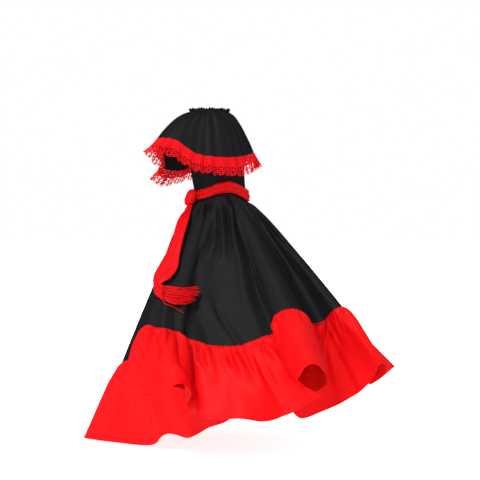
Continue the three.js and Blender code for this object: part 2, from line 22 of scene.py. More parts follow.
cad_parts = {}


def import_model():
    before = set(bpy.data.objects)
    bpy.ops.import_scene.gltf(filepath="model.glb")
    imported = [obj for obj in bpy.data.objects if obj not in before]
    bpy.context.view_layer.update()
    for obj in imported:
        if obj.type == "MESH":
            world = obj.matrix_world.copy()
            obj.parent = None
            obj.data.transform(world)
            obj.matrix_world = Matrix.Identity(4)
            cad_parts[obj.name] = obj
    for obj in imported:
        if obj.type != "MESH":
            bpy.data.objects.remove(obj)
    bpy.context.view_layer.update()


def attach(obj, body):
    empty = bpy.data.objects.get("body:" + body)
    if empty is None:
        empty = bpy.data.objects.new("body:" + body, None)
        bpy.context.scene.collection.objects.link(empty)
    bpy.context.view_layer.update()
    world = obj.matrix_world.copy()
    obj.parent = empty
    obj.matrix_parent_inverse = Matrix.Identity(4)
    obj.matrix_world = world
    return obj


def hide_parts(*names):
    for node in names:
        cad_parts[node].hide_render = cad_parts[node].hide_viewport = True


LOG = logging.getLogger("dress")
MM = 0.001
BODY = "root"
# Pieces are this far apart at a seam.
SEAM_GAP = 0.3
# The share at a piece's bottom edge, as the surfaces take it.
FOOT = np.ones((1, 1))

Surface = Callable[[np.ndarray, np.ndarray], np.ndarray]


class Held(Enum):
    """How a sheet of cloth is held."""

    GATHERED = "gathered"
    HUNG = "hung"
    STRETCHED = "stretched"


class Slot(Enum):
    """The record's material slots."""

    BLACK_CLOTH = "black_cloth"
    RED_CLOTH = "red_cloth"
    RED_LACE = "red_lace"
    RED_SATIN = "red_satin"
    RED_FRINGE = "red_fringe"


# Finishes.


def linear_colour(hex_code: str) -> tuple[float, float, float, float]:
    """Turns an sRGB hex colour to linear light.

    Args:
        hex_code: Six hexadecimal digits after a hash sign.

    Returns:
        Red, green, blue and an alpha of 1.
    """
    parts = [int(hex_code[i : i + 2], 16) / 255 for i in (1, 3, 5)]
    linear = [p / 12.92 if p <= 0.04045 else ((p + 0.055) / 1.055) ** 2.4 for p in parts]
    return (linear[0], linear[1], linear[2], 1.0)


def add_node(
    tree: bpy.types.NodeTree,
    kind: str,
    settings: dict[str | int, object],
    links: dict[str | int, object],
) -> bpy.types.Node:
    """Adds a node with its settings and its links.

    Args:
        tree: The material's node tree.
        kind: The node's type name.
        settings: Values by socket name or number, or by property name after a dot.
        links: Output sockets by the name or number of the input that they feed.

    Returns:
        The new node.
    """
    node = tree.nodes.new(kind)
    for name, value in settings.items():
        if isinstance(name, str) and name.startswith("."):
            setattr(node, name[1:], value)
        else:
            node.inputs[name].default_value = value
    for name, source in links.items():
        tree.links.new(source, node.inputs[name])
    return node


@dataclass(frozen=True)
class WovenCloth:
    """A plain woven cloth: its colour with painted shade in its soft crumples' hollows, its sheen and
    threads.
    """

    name: str
    colour: str
    # Lighter colour on the crumples' raised parts, painted light there, with painted shade in their
    # hollows.
    crest_light_colour: str
    roughness: float
    specular: float
    sheen: float
    sheen_colour: str
    thread_mm: float
    thread_depth_mm: float
    crumple_mm: float
    crumple_depth_mm: float
    lets_light: float = 0.0

    def material(self) -> bpy.types.Material:
        """Makes the material, whose threads follow the piece's own UV map in metres."""
        material = bpy.data.materials.new(self.name)
        material.use_nodes = True
        tree = material.node_tree
        shader = tree.nodes["Principled BSDF"]
        settings = {
            "Roughness": self.roughness,
            "Specular IOR Level": self.specular,
            "Sheen Weight": self.sheen,
            "Sheen Roughness": 0.45,
            "Sheen Tint": linear_colour(self.sheen_colour),
        }
        if self.lets_light:
            # Red light goes a few millimetres through the cloth, and little of the rest.
            settings["Subsurface Weight"] = self.lets_light
            settings["Subsurface Radius"] = (1.0, 0.06, 0.05)
            settings["Subsurface Scale"] = 0.006
        for name, value in settings.items():
            shader.inputs[name].default_value = value
        place = add_node(tree, "ShaderNodeTexCoord", {}, {}).outputs
        # A wave texture repeats every 0.314 of its scaled coordinate.
        threads = {
            number: add_node(
                tree,
                "ShaderNodeTexWave",
                {
                    ".bands_direction": way,
                    "Scale": 0.31416 / (self.thread_mm * MM),
                    "Distortion": 0.6,
                    "Detail": 1.0,
                },
                {"Vector": place["UV"]},
            ).outputs["Fac"]
            for number, way in enumerate(("X", "Y"))
        }
        weave = add_node(tree, "ShaderNodeMath", {".operation": "MAXIMUM"}, threads)
        crumple = add_node(
            tree,
            "ShaderNodeTexNoise",
            {"Scale": 1 / (self.crumple_mm * MM), "Detail": 3.0, "Roughness": 0.5},
            {"Vector": place["Object"]},
        ).outputs["Fac"]
        # Inputs 6 and 7 of a colour mix are its two colours, and output 2 is the mixed one.
        colours = {6: linear_colour(self.colour), 7: linear_colour(self.crest_light_colour)}
        # Painted shade: the bump's crumple noise puts the lighter colour on crests, the base in hollows.
        dye_and_painted_shade = add_node(tree, "ShaderNodeMix", {".data_type": "RGBA", **colours}, {"Factor": crumple})
        rough = add_node(
            tree,
            "ShaderNodeBump",
            {"Strength": 0.6, "Distance": self.crumple_depth_mm * MM},
            {"Height": crumple},
        )
        woven = add_node(
            tree,
            "ShaderNodeBump",
            {"Strength": 0.5, "Distance": self.thread_depth_mm * MM},
            {"Height": weave.outputs[0], "Normal": rough.outputs["Normal"]},
        )
        tree.links.new(dye_and_painted_shade.outputs[2], shader.inputs["Base Color"])
        tree.links.new(woven.outputs["Normal"], shader.inputs["Normal"])
        return material


# Each second colour is a little lighter: painted light on the crumples' crests, painted shade in
# hollows.
# Matte polyester crepe, dyed black: soft grey where light grazes it, no shine. Its threads are
# a third of a millimetre apart and are drawn at 1.4 mm, so that they show.
BLACK_CREPE = WovenCloth(
    name="black_polyester_crepe", colour="#131315", crest_light_colour="#18181a",
    roughness=0.62, specular=0.08, sheen=0.02, sheen_colour="#8f9299",
    thread_mm=1.4, thread_depth_mm=0.12, crumple_mm=45, crumple_depth_mm=2.2,
)  # fmt: skip
# Matte polyester of the same weight, dyed bright red: light comes a little way through it, so
# that its hollows stay red. Threads drawn at 1.4 mm for the same reason.
RED_CREPE = WovenCloth(
    name="red_polyester_crepe", colour="#bc0409", crest_light_colour="#c6070c",
    roughness=0.52, specular=0.07, sheen=0.01, sheen_colour="#ff3a30",
    thread_mm=1.4, thread_depth_mm=0.1, crumple_mm=60, crumple_depth_mm=2.0, lets_light=0.25,
)  # fmt: skip
# Soft polyester satin of the sash: smoother, with a low sheen along its folds.
RED_SATIN = WovenCloth(
    name="red_polyester_satin", colour="#b0040a", crest_light_colour="#bc070d",
    roughness=0.45, specular=0.06, sheen=0.01, sheen_colour="#ff3a30",
    thread_mm=1.0, thread_depth_mm=0.05, crumple_mm=24, crumple_depth_mm=1.2, lets_light=0.15,
)  # fmt: skip
# Raschel lace of polyester yarn: matte, with the yarn's loops drawn at 0.9 mm.
RED_LACE = WovenCloth(
    name="red_raschel_lace", colour="#b6050e", crest_light_colour="#c40a15",
    roughness=0.65, specular=0.05, sheen=0.01, sheen_colour="#ff3a30",
    thread_mm=0.9, thread_depth_mm=0.25, crumple_mm=12, crumple_depth_mm=0.6, lets_light=0.2,
)  # fmt: skip
# Twisted rayon yarn of the fringe: its twist shows as fine slanting lines.
RED_YARN = WovenCloth(
    name="red_twisted_rayon", colour="#ba060c", crest_light_colour="#ca0e14",
    roughness=0.5, specular=0.06, sheen=0.01, sheen_colour="#ff3a30",
    thread_mm=1.1, thread_depth_mm=0.3, crumple_mm=7, crumple_depth_mm=0.3, lets_light=0.1,
)  # fmt: skip


@dataclass(frozen=True)
class ShootingTable:
    """White acrylic of a shooting table, lit from beneath, so that it casts light upwards."""

    name: str = "white_backlit_acrylic"
    colour: str = "#ffffff"
    glow: float = 0.8

    def material(self) -> bpy.types.Material:
        """Makes the matte white of the acrylic."""
        material = bpy.data.materials.new(self.name)
        material.use_nodes = True
        shader = material.node_tree.nodes["Principled BSDF"]
        shader.inputs["Base Color"].default_value = linear_colour(self.colour)
        shader.inputs["Roughness"].default_value = 0.9
        shader.inputs["Emission Color"].default_value = linear_colour(self.colour)
        shader.inputs["Emission Strength"].default_value = self.glow
        return material


# Curves, surfaces and folds.


class SmoothCurve:
    """A centripetal Catmull-Rom curve through places, as the solids' source draws it."""

    def __init__(self, places: Sequence[Sequence[float]], closed: bool) -> None:
        """Keeps the places with the ones beyond the curve's two ends.

        Args:
            places: The places that the curve passes.
            closed: Whether it runs on from the last place to the first.
        """
        points = np.asarray(places, float)
        if closed:
            around = [points[-1:], points, points[:2]]
        else:
            around = [2 * points[:1] - points[1:2], points, 2 * points[-1:] - points[-2:-1]]
        self.points = np.concatenate(around)
        self.spans = len(points) if closed else len(points) - 1
        self.closed = closed

    def at(self, shares: np.ndarray) -> np.ndarray:
        """Finds the points at shares of the way along the curve."""
        shares = np.asarray(shares, float)
        where = (shares % 1.0 if self.closed else np.clip(shares, 0, 1)) * self.spans
        first = np.minimum(np.floor(where).astype(int), self.spans - 1)
        w = (where - first)[..., None]
        a, b, c, d = (self.points[first + k] for k in range(4))
        ab, bc, cd = (
            np.maximum(np.sqrt(np.linalg.norm(q - p, axis=-1)), 1e-4)[..., None]
            for p, q in ((a, b), (b, c), (c, d))
        )
        start = ((b - a) / ab - (c - a) / (ab + bc) + (c - b) / bc) * bc
        end = ((c - b) / bc - (d - b) / (bc + cd) + (d - c) / cd) * bc
        cubic = 2 * b - 2 * c + start + end
        return b + start * w + (3 * c - 3 * b - 2 * start - end) * w**2 + cubic * w**3


def turned(bearing: np.ndarray, reach: np.ndarray, z: np.ndarray, centre_y: float) -> np.ndarray:
    """Finds points by their bearing and reach about an upright axis.

    Args:
        bearing: Degrees from the front towards the dress's left, +X.
        reach: Distance out from the axis.
        z: Height.
        centre_y: The axis's place along Y.

    Returns:
        The points, with a last axis of three.
    """
    angle = np.radians(bearing)
    x, y, z = np.broadcast_arrays(reach * np.sin(angle), centre_y - reach * np.cos(angle), z)
    return np.stack([x, y, z], -1)


class Oval(NamedTuple):
    """An oval section of the dress."""

    half_width: float
    half_depth: float
    centre_y: float

    def at(self, bearing: np.ndarray, z: np.ndarray, grow: np.ndarray | float = 0) -> np.ndarray:
        """Finds points on the oval, moved out by an amount to grow."""
        angle = np.radians(bearing)
        x = (self.half_width + grow) * np.sin(angle)
        y = self.centre_y - (self.half_depth + grow) * np.cos(angle)
        x, y, z = np.broadcast_arrays(x, y, z)
        return np.stack([x, y, z], -1)


def unit(vectors: np.ndarray) -> np.ndarray:
    """Brings vectors to a length of one."""
    return vectors / np.linalg.norm(vectors, axis=-1, keepdims=True)


def normals_of(line: Surface, columns: np.ndarray, shares: np.ndarray) -> np.ndarray:
    """Finds the outward normals of a surface.

    Args:
        line: The surface, as a function of columns and shares.
        columns: Column numbers, which broadcast with the shares.
        shares: Shares of the way down.

    Returns:
        Unit vectors, with a last axis of three.
    """
    step = 0.02
    across = line(columns + 1, shares) - line(columns - 1, shares)
    down = line(columns, np.minimum(shares + step, 1)) - line(columns, np.maximum(shares - step, 0))
    return unit(np.cross(down, across))


def table_value(table: Sequence[tuple[float, float]], x: np.ndarray) -> np.ndarray:
    """Reads a short table of (x, value) pairs, joined by straight lines."""
    return np.interp(x, [row[0] for row in table], [row[1] for row in table])


class Crease(NamedTuple):
    """A sharp hollow in the cloth, along its path of (column, share) places."""

    path: tuple[tuple[float, float], ...]
    depth: float
    width: float


def crease_height(
    creases: Sequence[Crease], columns: np.ndarray, shares: np.ndarray, total: int
) -> np.ndarray:
    """Sums the heights of creases over a surface.

    Args:
        creases: The creases, with widths in columns and depths in millimetres.
        columns: Column numbers, of shape (n, 1).
        shares: Shares of the way down, of shape (1, m).
        total: Columns in the whole ring.

    Returns:
        Heights in millimetres, negative in the hollows, with a soft lip beside each.
    """
    height = np.zeros(np.broadcast_shapes(columns.shape, shares.shape))
    for path, depth, width in creases:
        places = [place[0] for place in path]
        stops = [place[1] for place in path]
        line = np.interp(shares, stops, places)
        away = ((columns - line + total / 2) % total - total / 2) / width
        low, high = stops[0], stops[-1]
        open_top = 1.0 if low <= 0 else np.clip((shares - low) / (0.3 * (high - low)), 0, 1)
        open_foot = 1.0 if high >= 1 else np.clip((high - shares) / (0.45 * (high - low)), 0, 1)
        fade = np.asarray(open_top * open_foot) ** 1.3
        hollow = np.exp(-np.abs(away) ** 1.5) - 0.4 * np.exp(-((np.abs(away) - 2.2) ** 2) / 1.2)
        height -= depth * fade * hollow
    return height


@dataclass(frozen=True)
class Gathers:
    """Small uneven gathers that fade away from a sewn edge."""

    count: int
    depth: tuple[float, float]
    width: float
    reach: tuple[float, float]
    drift: float
    seed: int
    from_foot: bool = False

    def height(self, columns: np.ndarray, shares: np.ndarray, total: int) -> np.ndarray:
        """Sums the gathers' heights over a surface.

        Args:
            columns: Column numbers, of shape (n, 1).
            shares: Shares of the way down, of shape (1, m).
            total: Columns in the whole ring.

        Returns:
            Heights in millimetres, negative in the hollows.
        """
        chance = np.random.default_rng(self.seed)
        height = np.zeros(np.broadcast_shapes(columns.shape, shares.shape))
        way = 1 - shares if self.from_foot else shares
        for k in range(self.count):
            middle = (k + chance.uniform(-0.32, 0.32)) * total / self.count
            depth = chance.uniform(*self.depth)
            reach = chance.uniform(*self.reach)
            drift = chance.uniform(-self.drift, self.drift)
            width = self.width * chance.uniform(0.7, 1.4)
            off = (columns[:, 0] - middle + total / 2) % total - total / 2
            near = np.abs(off) < 4 * width + abs(drift)
            away = (off[near, None] - drift * way) / (width * (1 + 1.5 * way))
            fade = np.exp(-((way / reach) ** 2))
            height[near] -= depth * fade * np.exp(-np.abs(away) ** 1.6)
        return height


# Meshes.


def new_piece(name: str, vertices: np.ndarray, faces: list[list[int]]) -> bpy.types.Object:
    """Makes a mesh object from vertices in millimetres.

    Args:
        name: The piece's name.
        vertices: Points, of shape (n, 3).
        faces: The vertex numbers of each face.

    Returns:
        The object, at the origin and linked to the scene.
    """
    mesh = bpy.data.meshes.new(name)
    mesh.from_pydata((vertices * MM).tolist(), [], faces)
    mesh.validate()
    piece = bpy.data.objects.new(name, mesh)
    bpy.context.scene.collection.objects.link(piece)
    return piece


def set_uv(piece: bpy.types.Object, uv: np.ndarray) -> None:
    """Gives a piece a UV map in metres, from one pair for each vertex."""
    mesh = piece.data
    corners = np.empty(len(mesh.loops), np.int64)
    mesh.loops.foreach_get("vertex_index", corners)
    layer = mesh.uv_layers.new(name="UVMap")
    layer.data.foreach_set("uv", (uv[corners] * MM).astype(np.float32).ravel())


def only(piece: bpy.types.Object) -> None:
    """Selects a piece alone and makes it active."""
    bpy.ops.object.select_all(action="DESELECT")
    piece.select_set(True)
    bpy.context.view_layer.objects.active = piece


def thicken(piece: bpy.types.Object, thickness: float) -> None:
    """Gives a sheet its thickness, inwards from its outer face."""
    only(piece)
    wall = piece.modifiers.new("thickness", "SOLIDIFY")
    wall.thickness = thickness * MM
    wall.offset = -1
    bpy.ops.object.modifier_apply(modifier=wall.name)


def flat_lengths(grid: np.ndarray) -> np.ndarray:
    """Works out how far each point of a grid is along and down the flat cloth.

    Args:
        grid: Points, of shape (columns, rows, 3).

    Returns:
        Pairs of millimetres, of shape (columns, rows, 2).
    """
    along = np.linalg.norm(np.diff(grid, axis=0), axis=-1).mean(1).cumsum()
    down = np.linalg.norm(np.diff(grid, axis=1), axis=-1).mean(0).cumsum()
    u, v = np.concatenate([[0], along]), np.concatenate([[0], down])
    return np.stack(np.broadcast_arrays(u[:, None], v[None, :]), -1)


def cloth_sheet(name: str, grid: np.ndarray, thickness: float, closed: bool = False) -> bpy.types.Object:
    """Makes a thin shell of cloth whose outer face is a grid.

    Args:
        name: The piece's name.
        grid: Points, of shape (columns, rows, 3), columns towards the dress's left.
        thickness: Millimetres, inwards.
        closed: Whether the last column joins the first.

    Returns:
        The piece, smooth.
    """
    columns, rows = grid.shape[:2]
    cells = columns if closed else columns - 1
    i, j = np.meshgrid(np.arange(cells), np.arange(rows - 1), indexing="ij")
    beyond = (i + 1) % columns
    faces = np.stack([i * rows + j, i * rows + j + 1, beyond * rows + j + 1, beyond * rows + j], -1)
    piece = new_piece(name, grid.reshape(-1, 3), faces.reshape(-1, 4).tolist())
    set_uv(piece, flat_lengths(grid).reshape(-1, 2))
    thicken(piece, thickness)
    only(piece)
    bpy.ops.object.shade_smooth_by_angle(angle=math.radians(55))
    return piece


def dress_piece(
    piece: bpy.types.Object, finish: bpy.types.Material, nodes: Sequence[str]
) -> None:
    """Gives a piece its finish and lets it stand for its solids.

    Args:
        piece: The finished mesh object.
        finish: Its material.
        nodes: The CAD nodes that it replaces.
    """
    piece.data.materials.clear()
    piece.data.materials.append(finish)
    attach(piece, BODY)
    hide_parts(*nodes)
    triangles = sum(len(face.vertices) - 2 for face in piece.data.polygons)
    area = sum(face.area for face in piece.data.polygons) / 2
    LOG.info("%s: %d triangles, %.4f square metres a side", piece.name, triangles, area)


def fine_columns(start: float, end: float, per_column: float, side_seam: float) -> np.ndarray:
    """Finds column numbers for a piece of a ring.

    Args:
        start: The piece's first column.
        end: Its last column.
        per_column: How many steps a column is cut into.
        side_seam: How far both ends are drawn in, in columns.

    Returns:
        The numbers, of shape (n, 1).
    """
    columns = np.linspace(start, end, round((end - start) * per_column) + 1)
    columns[0] += side_seam
    columns[-1] -= side_seam
    return columns[:, None]


def even_places(rings: Sequence[SmoothCurve]) -> tuple[np.ndarray, np.ndarray]:
    """Pairs shares of the rings' mean length with places along them."""
    places = np.linspace(0, 1, 1201)
    moved = sum(np.linalg.norm(np.diff(ring.at(places), axis=0), axis=-1) for ring in rings)
    lengths = np.concatenate([[0], np.cumsum(moved)])
    return lengths / lengths[-1], places


@dataclass
class RingForm:
    """The form of cloth that passes three rings: its gathered top, its seam and its free edge.

    The upper cloth goes out from the top and then down to the seam, and the lower cloth goes
    straight from the seam to the edge.
    """

    columns: int
    bend_out: float
    bend_down: float
    side_seam: float

    def draw_rings(self, *rings: Sequence[np.ndarray]) -> None:
        """Draws the top, the seam and the edge through their places."""
        self.top, self.seam, self.edge = (SmoothCurve(places, True) for places in rings)

    def on_ring(self, ring: SmoothCurve, columns: np.ndarray) -> np.ndarray:
        """Finds the points of a ring at column numbers."""
        return ring.at(np.interp((columns / self.columns) % 1.0, *self.places))

    def upper_line(self, columns: np.ndarray, shares: np.ndarray) -> np.ndarray:
        """Finds the smooth upper cloth."""
        top, foot = self.on_ring(self.top, columns), self.on_ring(self.seam, columns)
        bend = top + (foot - top) * np.array([self.bend_out, self.bend_out, self.bend_down])
        s = np.asarray(shares)[..., None]
        return (1 - s) ** 2 * top + 2 * s * (1 - s) * bend + s**2 * foot

    def lower_line(self, columns: np.ndarray, shares: np.ndarray) -> np.ndarray:
        """Finds the smooth lower cloth, which starts just below the seam."""
        top, foot = self.on_ring(self.seam, columns), self.on_ring(self.edge, columns)
        start = SEAM_GAP / np.linalg.norm(foot - top, axis=-1, keepdims=True)
        s = np.asarray(shares)[..., None]
        return top + (foot - top) * (start + (1 - start) * s)

    def lower_normal(self, columns: np.ndarray, shares: np.ndarray, turned_by: float) -> np.ndarray:
        """Finds the lower cloth's normals, which are the upper cloth's at the seam.

        Args:
            columns: Column numbers, of shape (n, 1).
            shares: Shares of the way down, of shape (1, m).
            turned_by: The share at which they are its own.

        Returns:
            Vectors, of shape (n, m, 3).
        """
        share = np.clip(shares / turned_by, 0, 1)[..., None]
        own = normals_of(self.lower_line, columns, shares)
        return normals_of(self.upper_line, columns, FOOT) * (1 - share) + own * share


# The skirt and its flounce.


class Fold(NamedTuple):
    """A fold: its bearing at the waist, and its seam and hem as bearing, reach and drop."""

    waist: float
    seam: tuple[float, float, float]
    hem: tuple[float, float, float]


FOLDS = (
    Fold(25, (28, 315, 520), (27, 445, 750)),
    Fold(32, (39, 290, 505), (39, 310, 754)),
    Fold(39, (48, 272, 494), (55, 235, 752)),
    Fold(46, (54, 256, 488), (68, 220, 737)),
    Fold(51, (62, 248, 482), (81, 219, 704)),
    Fold(55, (73, 245, 476), (103, 223, 706)),
    Fold(59, (87, 253, 464), (120, 265, 668)),
    Fold(63, (99, 275, 450), (132, 328, 632)),
    Fold(67, (101, 319, 436), (124, 402, 581)),
    Fold(71, (98, 352, 422), (114, 440, 536)),
    Fold(75, (95, 380, 399), (104, 505, 524)),
    Fold(80, (96, 412, 375), (101, 604, 505)),
    Fold(86, (101, 425, 366), (106, 613, 522)),
    Fold(93, (106, 422, 376), (112, 592, 522)),
    Fold(100, (111, 409, 380), (117, 560, 510)),
    Fold(106, (114, 386, 405), (118, 471, 570)),
    Fold(112, (119, 386, 411), (122, 496, 602)),
    Fold(121, (130, 394, 424), (132, 545, 596)),
    Fold(130, (139, 422, 411), (140, 556, 606)),
    Fold(137, (145, 434, 392), (146, 555, 588)),
    Fold(142, (147, 450, 371), (149, 575, 546)),
    Fold(147, (146, 480, 333), (145, 662, 482)),
    Fold(152, (150, 512, 313), (147, 708, 442)),
    Fold(157, (154, 508, 322), (151, 688, 456)),
    Fold(162, (159, 466, 348), (155, 598, 516)),
    Fold(167, (163, 438, 360), (159, 437, 566)),
    Fold(172, (167, 421, 366), (166, 326, 612)),
    Fold(177, (170, 416, 367), (175, 320, 646)),
    Fold(182, (172, 426, 359), (182, 375, 626)),
    Fold(187, (171.5, 450, 341), (181, 460, 583)),
    Fold(192, (171, 472, 325), (177, 544, 535)),
    Fold(197, (173, 484, 317), (173, 617, 466)),
    Fold(203, (178, 460, 323), (179, 603, 482)),
    Fold(209, (186, 418, 340), (193, 487, 550)),
    Fold(217, (200, 380, 362), (211, 537, 510)),
    Fold(227, (213, 345, 385), (221, 415, 590)),
    Fold(237, (226, 358, 385), (231, 505, 566)),
    Fold(248, (241, 318, 412), (243, 385, 625)),
    Fold(259, (256, 338, 405), (257, 490, 590)),
    Fold(271, (272, 296, 432), (273, 350, 652)),
    Fold(283, (288, 322, 428), (288, 470, 622)),
    Fold(296, (304, 284, 450), (305, 338, 678)),
    Fold(310, (320, 312, 452), (319, 455, 660)),
    Fold(325, (336, 280, 472), (337, 330, 706)),
    Fold(341, (352, 308, 480), (351, 440, 702)),
    Fold(359, (369, 288, 500), (370, 345, 738)),
)

WAIST = Oval(89, 74, 45)
WAIST_LEVEL = -266
SKIRT_TOP = -271
# The waistline rises behind: bearings and rises.
WAIST_RISE = (
    (0, -7), (60, -5), (85, -3), (98, 0), (111, 5), (124, 13), (137, 18), (150, 20), (162, 17),
    (177, 9), (192, 1), (210, -4), (250, -8), (305, -10), (360, -7),
)  # fmt: skip


def waist_lift(bearing: np.ndarray) -> np.ndarray:
    """Finds how much the waistline rises at a bearing."""
    return table_value(WAIST_RISE, np.asarray(bearing, float) % 360)


def waist_place(bearing: np.ndarray) -> np.ndarray:
    """Finds the skirt's top edge at a bearing."""
    return WAIST.at(bearing, SKIRT_TOP + waist_lift(bearing))


def fall_place(bearing: float, reach: float, drop: float) -> np.ndarray:
    """Finds a place by its bearing and reach about the waist's axis and its drop below it."""
    return turned(bearing, reach, WAIST_LEVEL - drop, WAIST.centre_y)


SKIRT_CREASES = (
    # The long folds behind and on the left, as they fall from the waist.
    Crease(((57.2, 0.06), (56.2, 0.32), (55.8, 0.5), (53.3, 0.68)), 9.8, 0.8),
    Crease(((54.7, 0.2), (53.8, 0.36), (51.3, 0.52), (47.4, 0.72)), 8.4, 0.9),
    Crease(((61.7, 0.06), (60.2, 0.3), (58.7, 0.55), (60.2, 0.7)), 9.8, 0.8),
    Crease(((69, 0.06), (66.1, 0.25), (63.1, 0.42), (63.1, 0.6), (62.6, 0.78), (63.6, 1)), 15.4, 1.0),
    Crease(((74.9, 0.1), (75.9, 0.3), (74.4, 0.52)), 5.6, 1.2),
    Crease(((87.7, 0.2), (90.2, 0.42), (90.7, 0.7), (87.7, 0.9)), 7, 1.3),
    Crease(((48.9, 0.74), (50.3, 0.86), (52.3, 0.93), (53.3, 1)), 8.4, 1.4),
    Crease(((53.8, 0.8), (55.1, 0.87), (56.7, 0.93), (58.2, 1)), 5.6, 0.45),
    Crease(((40, 0.82), (41, 0.92), (41.5, 1)), 7, 0.8),
    Crease(((43.5, 0.76), (44.4, 0.9), (45.4, 1)), 8.4, 0.9),
    Crease(((38.5, 0.04), (36.2, 0.3), (34.5, 0.62)), 8.4, 0.9),
    Crease(((32.2, 0.04), (30.5, 0.3), (29.9, 0.48)), 7, 0.8),
    Crease(((43.5, 0.03), (43, 0.28)), 4.8, 0.45),
    Crease(((47.9, 0.03), (47.4, 0.3)), 5, 0.45),
    Crease(((50.5, 0.03), (49.4, 0.4)), 5.6, 0.55),
    Crease(((52.7, 0.03), (51.8, 0.27)), 4.2, 0.4),
    Crease(((64.5, 0.03), (63.1, 0.24)), 5, 0.5),
    Crease(((67.1, 0.03), (65.1, 0.2)), 4.2, 0.4),
    Crease(((72.5, 0.03), (72, 0.34)), 5.6, 0.6),
    Crease(((79.4, 0.03), (80.8, 0.26)), 5, 0.6),
    Crease(((84.3, 0.03), (84.8, 0.42)), 6.3, 0.8),
    # The right side and the front, which are alike.
    Crease(((95.6, 0.05), (96.6, 0.38), (98.1, 0.74)), 9.8, 1.0),
    Crease(((102, 0.03), (102.5, 0.3)), 5.6, 0.6),
    Crease(((106.4, 0.04), (108.4, 0.5), (109.4, 0.82)), 8.4, 1.0),
    Crease(((112.3, 0.03), (112.8, 0.36)), 6.2, 0.6),
    Crease(((118.2, 0.05), (119.7, 0.44), (119.2, 0.66)), 9.8, 0.9),
    Crease(((123.1, 0.03), (123.6, 0.26)), 4.8, 0.5),
    Crease(((128.6, 0.05), (129, 0.5), (131, 0.9)), 8.4, 1.1),
    Crease(((134, 0.03), (134.5, 0.34)), 5.6, 0.6),
    Crease(((139.9, 0.05), (139.9, 0.42), (141.8, 0.7)), 9.8, 0.9),
    Crease(((146.3, 0.03), (146.7, 0.3)), 5, 0.5),
    Crease(((150.7, 0.05), (151.7, 0.48), (150.7, 0.86)), 8.4, 1.0),
    Crease(((157.1, 0.03), (156.6, 0.38)), 6.2, 0.7),
    Crease(((162.5, 0.05), (163.5, 0.4), (163.5, 0.62)), 9.8, 0.9),
    Crease(((167.9, 0.03), (168.4, 0.28)), 4.8, 0.5),
    Crease(((172.8, 0.05), (174.3, 0.52), (175.3, 0.84)), 8.4, 1.0),
    Crease(((179.2, 0.03), (179.7, 0.32)), 5.6, 0.6),
    Crease(((184.6, 0.05), (185.1, 0.46), (186.1, 0.7)), 9.8, 0.9),
    Crease(((190, 0.03), (190.5, 0.3)), 5, 0.5),
    Crease(((3.9, 0.05), (4.9, 0.44), (3.9, 0.76)), 8.4, 1.0),
    Crease(((10.6, 0.03), (10, 0.34)), 5.6, 0.6),
    Crease(((17.9, 0.05), (18.4, 0.5), (19.6, 0.8)), 8.4, 0.9),
    Crease(((24.7, 0.03), (24.2, 0.36)), 5.6, 0.6),
)

